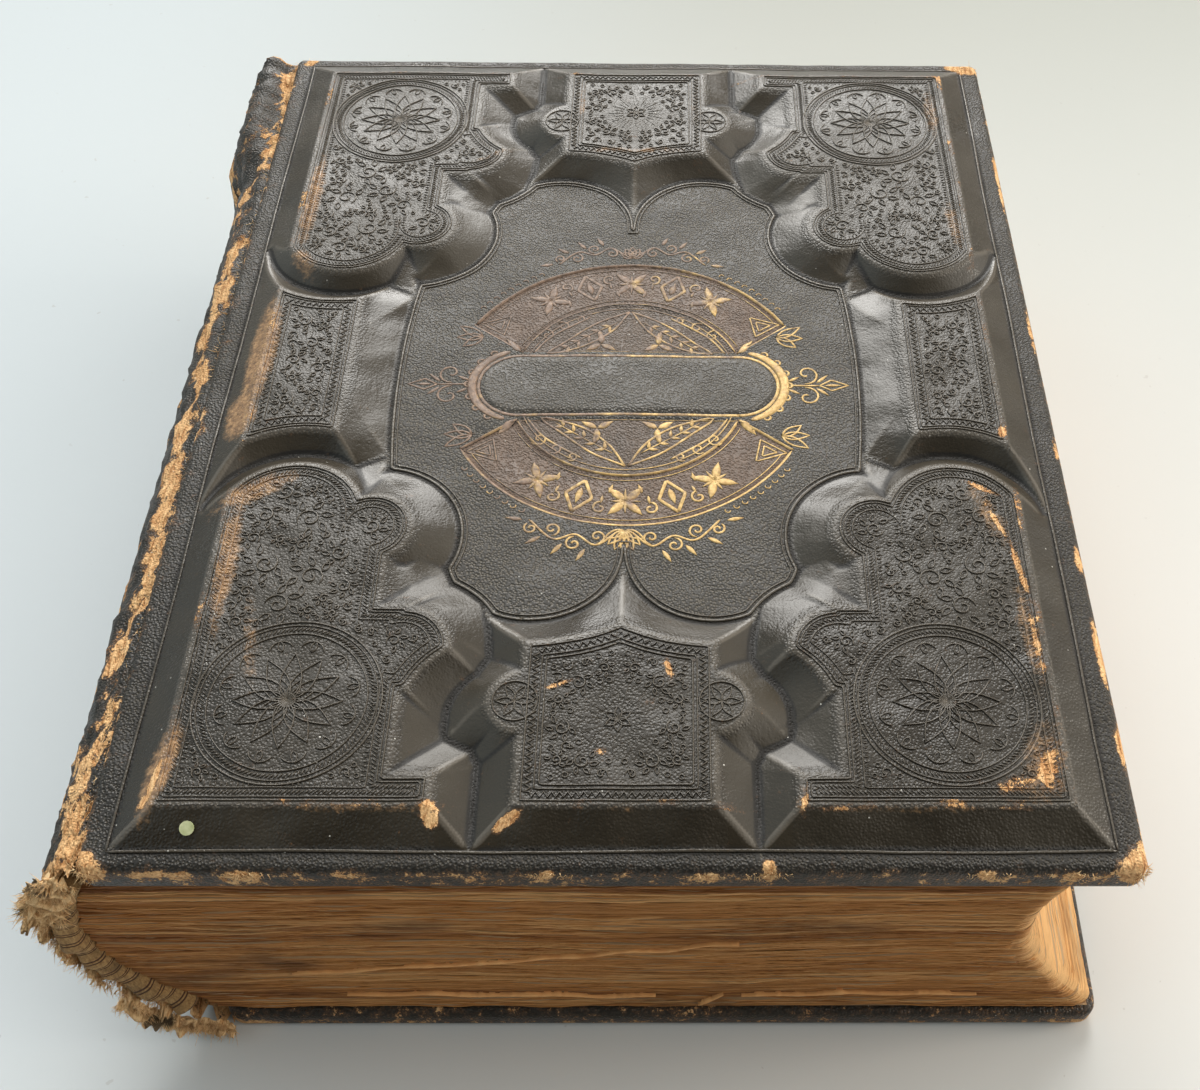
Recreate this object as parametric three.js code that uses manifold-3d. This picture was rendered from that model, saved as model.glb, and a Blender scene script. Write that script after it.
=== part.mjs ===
// A large old family bible lying on its back cover, in millimetres.
// +X runs from the spine to the fore-edge, +Y from the tail to the head, +Z up.
// The origin is the centre of the back cover's flat underside.
// The book leans: its front cover has crept towards the spine, and the spine is round.

import * as THREE from "three";
import { mergeVertices } from "three/addons/utils/BufferGeometryUtils.js";
import Module from "manifold-3d";

const wasm = await Module();
wasm.setup();

// ---- Driving dimensions ----

const COVER_WIDTH = 250;
const COVER_HEIGHT = 320;
const COVER_CORNER = 3; // corner radius of both covers
const FRONT_TOP = 105; // the front cover's flat rim above the table
const FRONT_THICKNESS = 10; // at the rim, without the raised panels
const BACK_THICKNESS = 9;
const FRONT_LEAN = -11; // the front cover's creep towards the spine
const RELIEF = 4.7; // the raised panels' height over the rim
const LEATHER = 1.2;
const GAP = 0.3; // between pieces that touch
const TURN_IN = 16; // width of the leather folded over each cover's inside
const PARED = 0.6; // thickness of that folded leather
const PASTEDOWN_INSET = 5;
const PAPER = 0.3; // one endpaper leaf

const LEAF_HEIGHT = 315;
const GATHERINGS = 16;
const LEAVES = ["title_leaf", "frontispiece_leaf", "front_flyleaf"]; // from the block upwards
const LEAF_ROOT = 4; // from the fold to the root of the first single leaf
const LEAF_STEP = 1; // each leaf above is rooted this much nearer the spine

// The text block's two curved edges, over its whole height.
const BLOCK_LOW = 9;
const BLOCK_HIGH = 93;
const SPINE_LOW_X = -124;
const SPINE_HIGH_X = -137;
const SPINE_BULGE = 15;
const FORE_LOW_X = 122;
const FORE_HIGH_X = 103;
const FORE_HOLLOW = 14;
const FOLD_ROUND = 0.8; // how far each gathering's fold stands proud

// The layers behind the gatherings' folds: distance out from the folds and thickness.
const CORD_LAYER = { out: 0.9, thick: 1.8 };
const MULL_LAYER = { out: 3.0, thick: 0.6 };
const LINING_LAYER = { out: 3.9, thick: 1.0 };
const STIFFENER_LAYER = { out: 5.6, thick: 1.2 };
const LEATHER_LAYER = { out: 7.1, thick: 2.4 };
const BAND_LAYER = { out: 1.0, thick: 5.6 };
const LINING_LENGTH = 296;
const CORD_SPACING = 60;
const CORD_WIDTH = 4;
const BAND_WIDTH = 8; // of the head and tail bands, along Y
const BAND_OUTER_END = 160.5;
const BAND_RANGE = [0.08, 0.96]; // clear of both opened covers
const CORDS = 5;
const SPINE_STEPS = 12;
const SPINE_RANGE = [0.1, 0.885]; // the stiff part of the spine, clear of both opened covers

// The raised panels' slopes: the usual distance from a panel's edge to its foot.
const SLOPE = 6.5;
const OUTER_SLOPE = 8.4;
const END_SLOPE = 10; // towards the head and the tail
const LONG_SLOPE = 10;
const PANEL_DRAWN_IN = 0.2; // share of its slopes that each board panel keeps off the leather
const PANEL_ROOT = 0.5; // how deep a leather panel's foot runs into the leather below it
const ARC_STEPS = 5;

// The joint leather's way from the spine to each cover: from the end of the spine's leather
// (offset from it), round a bend, to the cover's edge. Bend and edge are from the cover's edge.
const FRONT_JOINT = { start: [0.3, 0.8], bend: [-7.5, -6], edge: [-1, -1] };
const BACK_JOINT = { start: [0.8, -1.2], bend: [-9, 3], edge: [-1, 1] };
const JOINT_STEPS = 8;

// The round sticker, on the tail slope of the corner by the spine, from the cover's centre.
const STICKER = { radius: 1.7, thick: 0.4, x: -99.6, y: -150.4, sides: 16 };

const COLOURS = {
  leather: [0x2b2723, 0.5],
  board: [0x8b6a45, 0.95],
  endpaper: [0xb08a5a, 0.9],
  paper: [0x9a6f42, 0.9],
  mull: [0xc9b48a, 0.95],
  cord: [0xb79a66, 0.9],
  band: [0xb98d55, 0.9],
  sticker: [0xc9cf8c, 0.6],
};

// ---- Solids ----

function solid(geometry) {
  const bare = geometry.index ? geometry.toNonIndexed() : geometry.clone();
  bare.deleteAttribute("normal");
  bare.deleteAttribute("uv");
  const merged = mergeVertices(bare, 1e-4);
  return new wasm.Manifold(
    new wasm.Mesh({
      numProp: 3,
      vertProperties: new Float32Array(merged.attributes.position.array),
      triVerts: new Uint32Array(merged.index.array),
    }),
  );
}

function geometryOf(manifold) {
  const mesh = manifold.getMesh();
  const geometry = new THREE.BufferGeometry();
  geometry.setAttribute("position", new THREE.BufferAttribute(mesh.vertProperties, 3));
  geometry.setIndex(new THREE.BufferAttribute(mesh.triVerts, 1));
  const flat = geometry.toNonIndexed();
  flat.computeVertexNormals();
  return flat;
}

// A flat outline pushed up from z0 to z1.
function slab(points, z0, z1) {
  const shape = new THREE.Shape(points.map(([x, y]) => new THREE.Vector2(x, y)));
  const geometry = new THREE.ExtrudeGeometry(shape, { depth: z1 - z0, bevelEnabled: false });
  return geometry.translate(0, 0, z0);
}

// A side profile in X and Z, pushed along Y and centred on y.
function bar(profile, length, y = 0) {
  const geometry = slab(profile, 0, length);
  return geometry.rotateX(Math.PI / 2).translate(0, y + length / 2, 0);
}

function roundedRectangle(width, height, radius, steps = 3) {
  const points = [];
  [[1, 1], [-1, 1], [-1, -1], [1, -1]].forEach(([sx, sy], quarter) => {
    for (let i = 0; i <= steps; i++) {
      const angle = ((quarter + i / steps) * Math.PI) / 2;
      points.push([
        sx * (width / 2 - radius) + radius * Math.cos(angle),
        sy * (height / 2 - radius) + radius * Math.sin(angle),
      ]);
    }
  });
  return points;
}

// A solid between two level outlines with the same number of points, both anticlockwise.
function loft(low, zLow, high, zHigh) {
  const ring = (points, z) => points.map(([x, y]) => [x, y, z]);
  const flat = (points) => points.map(([x, y]) => new THREE.Vector2(x, y));
  const bottom = ring(low, zLow);
  const top = ring(high, zHigh);
  const triangles = [];
  for (let i = 0; i < low.length; i++) {
    const j = (i + 1) % low.length;
    triangles.push([bottom[i], bottom[j], top[j]], [bottom[i], top[j], top[i]]);
  }
  for (const [a, b, c] of THREE.ShapeUtils.triangulateShape(flat(low), []))
    triangles.push([bottom[a], bottom[c], bottom[b]]);
  for (const [a, b, c] of THREE.ShapeUtils.triangulateShape(flat(high), []))
    triangles.push([top[a], top[b], top[c]]);
  const geometry = new THREE.BufferGeometry();
  geometry.setAttribute("position", new THREE.Float32BufferAttribute(triangles.flat(2), 3));
  geometry.computeVertexNormals();
  return geometry;
}

// ---- The raised panels' outlines ----
// An outline is a ring of straight and round edges, anticlockwise. Each edge can be moved
// outwards by its own slope, and neighbours meet again where their moved edges cross.

const straight = (from, to, slope = SLOPE) => ({ from, to, slope });
const round = (centre, radius, to, slope = SLOPE) => ({ centre, radius, to, slope });
const hollow = (centre, radius, to, slope = SLOPE) => ({ centre, radius: -radius, to, slope });

function moved(edge, share) {
  const out = edge.slope * share;
  if (edge.centre) return { ...edge, radius: edge.radius + out };
  const [dx, dy] = [edge.to[0] - edge.from[0], edge.to[1] - edge.from[1]];
  const length = Math.hypot(dx, dy);
  const [nx, ny] = [(dy / length) * out, (-dx / length) * out];
  return {
    ...edge,
    from: [edge.from[0] + nx, edge.from[1] + ny],
    to: [edge.to[0] + nx, edge.to[1] + ny],
  };
}

const nearest = (points, to) =>
  points.sort(
    (p, q) => Math.hypot(p[0] - to[0], p[1] - to[1]) - Math.hypot(q[0] - to[0], q[1] - to[1]),
  )[0];

function meetLines(a, b) {
  const [ux, uy] = [a.to[0] - a.from[0], a.to[1] - a.from[1]];
  const [vx, vy] = [b.to[0] - b.from[0], b.to[1] - b.from[1]];
  const t = ((b.from[0] - a.from[0]) * vy - (b.from[1] - a.from[1]) * vx) / (ux * vy - uy * vx);
  return [a.from[0] + ux * t, a.from[1] + uy * t];
}

function meetLineAndArc(line, arc, near) {
  const [ux, uy] = [line.to[0] - line.from[0], line.to[1] - line.from[1]];
  const length = Math.hypot(ux, uy);
  const [dx, dy] = [ux / length, uy / length];
  const [fx, fy] = [arc.centre[0] - line.from[0], arc.centre[1] - line.from[1]];
  const along = fx * dx + fy * dy;
  const aside = fx * dy - fy * dx;
  const half = Math.sqrt(Math.max(0, arc.radius ** 2 - aside ** 2));
  const at = (t) => [line.from[0] + dx * t, line.from[1] + dy * t];
  return nearest([at(along - half), at(along + half)], near);
}

function meetArcs(a, b, near) {
  const [dx, dy] = [b.centre[0] - a.centre[0], b.centre[1] - a.centre[1]];
  const apart = Math.hypot(dx, dy);
  const along = (apart ** 2 + a.radius ** 2 - b.radius ** 2) / (2 * apart);
  const half = Math.sqrt(Math.max(0, a.radius ** 2 - along ** 2));
  const [ux, uy] = [dx / apart, dy / apart];
  const at = (s) => [
    a.centre[0] + ux * along - uy * half * s,
    a.centre[1] + uy * along + ux * half * s,
  ];
  return nearest([at(1), at(-1)], near);
}

function meet(a, b) {
  if (a.centre && b.centre) return meetArcs(a, b, a.to);
  if (a.centre) return meetLineAndArc(b, a, a.to);
  if (b.centre) return meetLineAndArc(a, b, a.to);
  return meetLines(a, b);
}

// The outline with every slope run out by a share of its length: 0 is the panel's own edge.
function outlineAt(edges, share) {
  const ring = edges.map((edge) => moved(edge, share));
  const corners = ring.map((edge, i) => meet(edge, ring[(i + 1) % ring.length]));
  const points = [];
  ring.forEach((edge, i) => {
    if (edge.centre) {
      const angle = ([x, y]) => Math.atan2(y - edge.centre[1], x - edge.centre[0]);
      const turn = Math.sign(edge.radius) * 2 * Math.PI;
      const start = angle(corners[(i + ring.length - 1) % ring.length]);
      let sweep = (angle(corners[i]) - start) % (2 * Math.PI);
      if (sweep * turn < 0) sweep += turn;
      for (let k = 1; k < ARC_STEPS; k++) {
        const a = start + (sweep * k) / ARC_STEPS;
        const r = Math.abs(edge.radius);
        points.push([edge.centre[0] + r * Math.cos(a), edge.centre[1] + r * Math.sin(a)]);
      }
    }
    points.push(corners[i]);
  });
  return points;
}

// One corner panel: a broad foot with a medallion, a waist, and a head of two lobes.
const CORNER_PANEL = [
  straight([109, 145], [43, 145], END_SLOPE),
  straight([43, 145], [46.6, 138.4]),
  hollow([32, 121], 22.6, [47, 104]),
  straight([47, 104], [44.1, 98.2]),
  straight([44.1, 98.2], [52, 89.5], 9),
  straight([52, 89.5], [63.5, 86.5], 9),
  straight([63.5, 86.5], [59.3, 69], LONG_SLOPE),
  round([68.6, 62.4], 10.8, [73, 51], LONG_SLOPE),
  round([91, 59.8], 19.8, [109, 51.6]),
  straight([109, 51.6], [109, 145], OUTER_SLOPE),
];

// One side panel, between two corner panels: its ends are notched, and it runs out in a long
// slope to the middle of the cover.
const SIDE_PANEL = [
  straight([110, -27.5], [110, 27.5], 7.6),
  straight([110, 27.5], [103, 23.5], 4),
  straight([103, 23.5], [90, 23.5]),
  straight([90, 23.5], [83, 27.5], 2.5),
  straight([83, 27.5], [83, -27.5], 14),
  straight([83, -27.5], [90, -23.5], 2.5),
  straight([90, -23.5], [103, -23.5]),
  straight([103, -23.5], [110, -27.5], 4),
];

// One shield panel, at the head or the tail: half-round ears, and a point to the centre.
const SHIELD_PANEL = [
  straight([23.5, 145], [-23.5, 145], END_SLOPE),
  straight([-23.5, 145], [-23.5, 125.5]),
  round([-24, 117], 8.5, [-23.5, 108.5]),
  straight([-23.5, 108.5], [-23.5, 100]),
  straight([-23.5, 100], [0, 94.5], 12),
  straight([0, 94.5], [23.5, 100], 12),
  straight([23.5, 100], [23.5, 108.5]),
  round([24, 117], 8.5, [23.5, 125.5]),
  straight([23.5, 125.5], [23.5, 145]),
];

const PANELS = [
  { name: "corner_panel_head_fore_edge", edges: CORNER_PANEL, sx: 1, sy: 1 },
  { name: "corner_panel_head_spine", edges: CORNER_PANEL, sx: -1, sy: 1 },
  { name: "corner_panel_tail_spine", edges: CORNER_PANEL, sx: -1, sy: -1 },
  { name: "corner_panel_tail_fore_edge", edges: CORNER_PANEL, sx: 1, sy: -1 },
  { name: "side_panel_fore_edge", edges: SIDE_PANEL, sx: 1, sy: 1 },
  { name: "side_panel_spine", edges: SIDE_PANEL, sx: -1, sy: 1 },
  { name: "shield_panel_head", edges: SHIELD_PANEL, sx: 1, sy: 1 },
  { name: "shield_panel_tail", edges: SHIELD_PANEL, sx: 1, sy: -1 },
];

// A raised panel between two heights over its foot, standing on the level z. Its outline can
// be drawn in by a share of its slopes.
function raised({ edges, sx, sy }, from, to, z, drawnIn = 0) {
  const ring = (height) => {
    const share = 1 - height / RELIEF - drawnIn;
    const points = outlineAt(edges, share).map(([x, y]) => [x * sx, y * sy]);
    return sx * sy < 0 ? points.reverse() : points;
  };
  return loft(ring(from), z + from, ring(to), z + to);
}

// ---- The covers, each built with its inside at z = 0 and its outside upwards ----

function coverLeather(thickness, panels) {
  const skinTop = thickness - LEATHER;
  const box = (inset, z0, z1) => {
    const radius = Math.max(COVER_CORNER - inset, 0.5);
    const outline = roundedRectangle(COVER_WIDTH - 2 * inset, COVER_HEIGHT - 2 * inset, radius);
    return solid(slab(outline, z0, z1));
  };
  let outside = box(0, GAP + PAPER, thickness);
  let inside = box(LEATHER, GAP + PAPER + PARED, skinTop);
  for (const panel of panels) {
    outside = outside.add(solid(raised(panel, -PANEL_ROOT, RELIEF, thickness)));
    inside = inside.add(solid(raised(panel, -PANEL_ROOT, RELIEF, skinTop)));
  }
  const opening = box(TURN_IN, -1, thickness / 2);
  return geometryOf(outside.subtract(inside).subtract(opening));
}

function coverBoard(thickness) {
  const inset = LEATHER + GAP;
  const width = COVER_WIDTH - 2 * inset;
  const height = COVER_HEIGHT - 2 * inset;
  const outline = roundedRectangle(width, height, COVER_CORNER - inset);
  return slab(outline, PAPER + PARED + 2 * GAP, thickness - inset);
}

// The pastedown covers the turned-in leather and dips to the board inside it.
function pastedown() {
  const sheet = (inset) =>
    roundedRectangle(COVER_WIDTH - 2 * inset, COVER_HEIGHT - 2 * inset, 0.5, 1);
  const over = solid(slab(sheet(PASTEDOWN_INSET), 0, PAPER));
  const dip = solid(slab(sheet(TURN_IN + GAP), 0, PAPER + PARED + GAP));
  return geometryOf(over.add(dip));
}

// ---- The text block ----

const between = (a, b, t) => a + (b - a) * t;
const shareOfHeight = (z) => (z - BLOCK_LOW) / (BLOCK_HIGH - BLOCK_LOW);
const bow = (t) => 1 - (2 * t - 1) ** 2;
const spineX = (t) => between(SPINE_LOW_X, SPINE_HIGH_X, t) - SPINE_BULGE * bow(t);
const foreX = (t) => between(FORE_LOW_X, FORE_HIGH_X, t) - FORE_HOLLOW * bow(t);

// A point at a distance out from the line of the folds.
function behindFolds(t, out) {
  const rise = BLOCK_HIGH - BLOCK_LOW;
  const lean = (SPINE_HIGH_X - SPINE_LOW_X + 4 * SPINE_BULGE * (2 * t - 1)) / rise;
  const length = Math.hypot(1, lean);
  return [spineX(t) - out / length, between(BLOCK_LOW, BLOCK_HIGH, t) + (out * lean) / length];
}

// A curved strip that lies behind the folds.
function spineStrip({ out, thick }, length, y, [from, to] = [0.04, 0.96]) {
  const along = (distance) =>
    Array.from({ length: SPINE_STEPS + 1 }, (_, i) =>
      behindFolds(between(from, to, i / SPINE_STEPS), distance),
    );
  return bar([...along(out), ...along(out + thick).reverse()], length, y);
}

// One gathering: folded leaves with a round back and slanting fore-edge.
function gathering(low, high) {
  const middle = (low + high) / 2;
  const fore = (z) => [foreX(shareOfHeight(z)), z];
  const fold = (z) => [spineX(shareOfHeight(z)), z];
  const [backX] = fold(middle);
  const profile = [fold(low), fore(low), fore(middle), fore(high), fold(high)];
  return bar([...profile, [backX - FOLD_ROUND, middle]], LEAF_HEIGHT);
}

// A single leaf that lies flat at a height in the block, from its root to the fore-edge.
function leaf(root, z) {
  const fore = foreX(shareOfHeight(z));
  return bar([[root, z], [fore, z], [fore, z + PAPER], [root, z + PAPER]], LEAF_HEIGHT);
}

const offset = ([x, z], [dx, dz]) => [x + dx, z + dz];

// A strip of leather along a smooth line through points in X and Z.
function jointLeather(points) {
  const line = new THREE.CatmullRomCurve3(points.map(([x, z]) => new THREE.Vector3(x, z, 0)));
  const side = (distance) =>
    Array.from({ length: JOINT_STEPS + 1 }, (_, i) => {
      const at = line.getPoint(i / JOINT_STEPS);
      const tangent = line.getTangent(i / JOINT_STEPS);
      return [at.x + tangent.y * distance, at.y - tangent.x * distance];
    });
  const half = LEATHER / 2;
  return bar([...side(half), ...side(-half).reverse()], COVER_HEIGHT);
}

// ---- Assembly ----

const bible = new THREE.Group();

const materials = Object.fromEntries(
  Object.entries(COLOURS).map(([name, [color, roughness]]) => [
    name,
    new THREE.MeshStandardMaterial({ name, color, roughness, metalness: 0 }),
  ]),
);

function add(group, name, geometry, material) {
  const mesh = new THREE.Mesh(geometry, materials[material]);
  mesh.name = name;
  group.add(mesh);
  return mesh;
}

function addFrontCover() {
  const cover = new THREE.Group();
  cover.position.set(FRONT_LEAN, 0, FRONT_TOP - FRONT_THICKNESS);
  add(cover, "front_cover_leather", coverLeather(FRONT_THICKNESS, PANELS), "leather");
  add(cover, "front_board", coverBoard(FRONT_THICKNESS), "board");
  add(cover, "front_pastedown", pastedown(), "endpaper");
  const boardTop = FRONT_THICKNESS - LEATHER - GAP;
  for (const panel of PANELS) {
    const geometry = raised(panel, GAP, RELIEF, boardTop, PANEL_DRAWN_IN);
    add(cover, panel.name, geometry, "board");
  }
  addSticker(cover);
  bible.add(cover);
}

// A small blank round sticker on the slope of the tail corner by the spine.
function addSticker(cover) {
  const { radius, thick, x, y, sides } = STICKER;
  const disc = new THREE.CylinderGeometry(radius, radius, thick, sides).rotateX(Math.PI / 2);
  const sticker = add(cover, "round_sticker", disc, "sticker");
  sticker.rotation.x = Math.atan2(RELIEF, END_SLOPE);
  sticker.position.set(x, y, FRONT_THICKNESS + RELIEF / 2 + GAP + thick / 2);
}

function addBackCover() {
  const cover = new THREE.Group();
  cover.position.z = BACK_THICKNESS;
  cover.rotation.x = Math.PI;
  add(cover, "back_cover_leather", coverLeather(BACK_THICKNESS, []), "leather");
  add(cover, "back_board", coverBoard(BACK_THICKNESS), "board");
  add(cover, "back_pastedown", pastedown(), "endpaper");
  bible.add(cover);
}

function addTextBlock() {
  const block = new THREE.Group();
  const backLeaf = BACK_THICKNESS + GAP;
  add(block, "back_flyleaf", leaf(SPINE_LOW_X + LEAF_ROOT, backLeaf), "endpaper");
  const leafPitch = PAPER + GAP;
  const firstLeaf = FRONT_TOP - FRONT_THICKNESS - GAP - LEAVES.length * leafPitch;
  const low = backLeaf + leafPitch;
  const pitch = (firstLeaf - low) / GATHERINGS;
  for (let i = 0; i < GATHERINGS; i++) {
    const name = "gathering_" + String(i + 1).padStart(2, "0");
    const z = firstLeaf - (i + 1) * pitch;
    add(block, name, gathering(z, z + pitch - GAP), "paper");
  }
  LEAVES.forEach((name, i) => {
    const root = SPINE_HIGH_X + LEAF_ROOT - i * LEAF_STEP;
    add(block, name, leaf(root, firstLeaf + i * leafPitch), "endpaper");
  });
  bible.add(block);
}

function addSpine() {
  const spine = new THREE.Group();
  for (let i = 0; i < CORDS; i++) {
    const cord = spineStrip(CORD_LAYER, CORD_WIDTH, (i - (CORDS - 1) / 2) * CORD_SPACING);
    add(spine, "sewing_cord_" + (i + 1), cord, "cord");
  }
  add(spine, "mull", spineStrip(MULL_LAYER, LINING_LENGTH, 0), "mull");
  add(spine, "spine_lining", spineStrip(LINING_LAYER, LINING_LENGTH, 0), "endpaper");
  const stiffener = spineStrip(STIFFENER_LAYER, LINING_LENGTH, 0, SPINE_RANGE);
  add(spine, "spine_stiffener", stiffener, "board");
  const leather = spineStrip(LEATHER_LAYER, COVER_HEIGHT, 0, SPINE_RANGE);
  add(spine, "spine_leather", leather, "leather");
  const bandY = BAND_OUTER_END - BAND_WIDTH / 2;
  add(spine, "head_band", spineStrip(BAND_LAYER, BAND_WIDTH, bandY, BAND_RANGE), "band");
  add(spine, "tail_band", spineStrip(BAND_LAYER, BAND_WIDTH, -bandY, BAND_RANGE), "band");

  const middle = LEATHER_LAYER.out + LEATHER_LAYER.thick / 2;
  const [topX, topZ] = behindFolds(SPINE_RANGE[1], middle);
  const [lowX, lowZ] = behindFolds(SPINE_RANGE[0], middle);
  const front = jointLeather([
    offset([topX, topZ], FRONT_JOINT.start),
    offset([FRONT_LEAN - COVER_WIDTH / 2, FRONT_TOP], FRONT_JOINT.bend),
    offset([FRONT_LEAN - COVER_WIDTH / 2, FRONT_TOP], FRONT_JOINT.edge),
  ]);
  add(spine, "front_joint_leather", front, "leather");
  const back = jointLeather([
    offset([lowX, lowZ], BACK_JOINT.start),
    offset([-COVER_WIDTH / 2, 0], BACK_JOINT.bend),
    offset([-COVER_WIDTH / 2, 0], BACK_JOINT.edge),
  ]);
  add(spine, "back_joint_leather", back, "leather");
  bible.add(spine);
}

addTextBlock();
addSpine();
addBackCover();
addFrontCover();

export default bible;
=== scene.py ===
"""A large old family bible lying on its back cover. Lengths are in millimetres, and become metres
as each mesh is made. X runs from the spine to the fore-edge, Y from tail to head, Z up."""

import math

import bmesh
import bpy
import numpy as np
from mathutils import Matrix, Vector


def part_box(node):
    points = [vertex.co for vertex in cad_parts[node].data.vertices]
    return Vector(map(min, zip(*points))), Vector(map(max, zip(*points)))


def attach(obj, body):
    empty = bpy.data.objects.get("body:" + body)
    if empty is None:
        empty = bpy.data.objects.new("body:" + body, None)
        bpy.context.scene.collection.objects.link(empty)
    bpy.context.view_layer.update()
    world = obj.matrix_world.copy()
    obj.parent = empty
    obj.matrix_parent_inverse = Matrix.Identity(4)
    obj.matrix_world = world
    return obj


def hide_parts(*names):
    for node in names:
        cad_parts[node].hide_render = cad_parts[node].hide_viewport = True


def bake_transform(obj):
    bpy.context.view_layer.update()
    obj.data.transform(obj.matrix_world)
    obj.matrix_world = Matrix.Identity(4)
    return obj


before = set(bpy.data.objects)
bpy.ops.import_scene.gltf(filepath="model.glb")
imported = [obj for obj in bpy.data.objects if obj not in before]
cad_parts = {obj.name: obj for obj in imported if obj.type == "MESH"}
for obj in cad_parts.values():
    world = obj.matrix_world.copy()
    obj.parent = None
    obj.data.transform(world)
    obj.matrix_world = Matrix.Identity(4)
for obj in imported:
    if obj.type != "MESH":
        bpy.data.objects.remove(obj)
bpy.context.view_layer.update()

MM = 0.001
TAU = 2 * math.pi


def box(node):
    """A CAD node's lowest and highest corners, in millimetres."""
    low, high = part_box(node)
    return np.array(low) / MM, np.array(high) / MM


# ---- Camera and light ----

CAMERA_PLACE = (0.00211, -0.2984, 0.41045)
CAMERA_TURNS = (("X", 37.417), ("Y", -0.838), ("Z", 0.206))  # degrees, the last one first
CAMERA_LENS = 42.36
CAMERA_SHIFT = -0.0772


def add_camera():
    """The camera at the photograph's view, solved from the cover's corners and medallions."""
    data = bpy.data.cameras.new("camera")
    data.sensor_width = 36
    data.lens = CAMERA_LENS
    data.shift_x = CAMERA_SHIFT
    camera = bpy.data.objects.new("camera", data)
    turn = Matrix.Identity(3)
    for axis, angle in CAMERA_TURNS:
        turn = turn @ Matrix.Rotation(math.radians(angle), 3, axis)
    camera.matrix_world = Matrix.Translation(CAMERA_PLACE) @ turn.to_4x4()
    bpy.context.collection.objects.link(camera)
    bpy.context.scene.camera = camera


def add_light(name, place, target, size, power, colour):
    """A rectangular area light that faces a target."""
    data = bpy.data.lights.new(name, "AREA")
    data.shape = "RECTANGLE"
    data.size, data.size_y = size
    data.energy = power
    data.color = colour
    light = bpy.data.objects.new(name, data)
    light.location = place
    aim = Vector(target) - Vector(place)
    light.rotation_euler = aim.to_track_quat("-Z", "Y").to_euler()
    bpy.context.collection.objects.link(light)


def add_world(base, glows):
    """A dim room with wide soft glows in it. Each glow has its way round from the head towards
    the fore-edge, its height, its inner and outer half angles, a strength and a colour."""
    world = bpy.data.worlds.new("studio")
    world.use_nodes = True
    tree = world.node_tree

    def vector(operation):
        node = tree.nodes.new("ShaderNodeVectorMath")
        node.operation = operation
        return node

    way = tree.nodes.new("ShaderNodeTexCoord").outputs["Generated"]
    total = None
    for turn, height, inner, outer, strength, colour in glows:
        turn, height, inner, outer = (math.radians(v) for v in (turn, height, inner, outer))
        level = math.cos(height)
        near = vector("DOT_PRODUCT")
        tree.links.new(way, near.inputs[0])
        near.inputs[1].default_value = (
            level * math.sin(turn), level * math.cos(turn), math.sin(height)
        )
        share = tree.nodes.new("ShaderNodeMapRange")
        share.interpolation_type = "SMOOTHSTEP"
        tree.links.new(near.outputs["Value"], share.inputs["Value"])
        share.inputs["From Min"].default_value = math.cos(outer)
        share.inputs["From Max"].default_value = math.cos(inner)
        share.inputs["To Max"].default_value = strength
        glow = vector("SCALE")
        glow.inputs[0].default_value = colour
        tree.links.new(share.outputs["Result"], glow.inputs["Scale"])
        both = vector("ADD")
        tree.links.new(glow.outputs[0], both.inputs[0])
        if total:
            tree.links.new(total, both.inputs[1])
        else:
            both.inputs[1].default_value = base
        total = both.outputs[0]
    tree.links.new(total, tree.nodes["Background"].inputs["Color"])
    bpy.context.scene.world = world


add_camera()
bpy.context.scene.view_settings.view_transform = "Standard"
ROOM = (0.13, 0.127, 0.12)
GLOWS = [
    (-4, 34, 6, 28, 9.6, (1.0, 0.985, 0.95)),
    (-80, 36, 6, 50, 0.95, (0.80, 0.95, 1.0)),
    (80, 34, 6, 48, 1.8, (1.0, 0.955, 0.87)),
]
add_world(ROOM, GLOWS)
add_light("back", (0.1, 2.6, 1.0), (0, 0, 0.1), (2.4, 0.5), 14, (1.0, 0.99, 0.97))
add_light("right", (1.5, 0.0, 0.55), (0, 0, 0.05), (0.5, 0.5), 10, (1.0, 0.93, 0.82))


# ---- Materials ----


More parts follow.
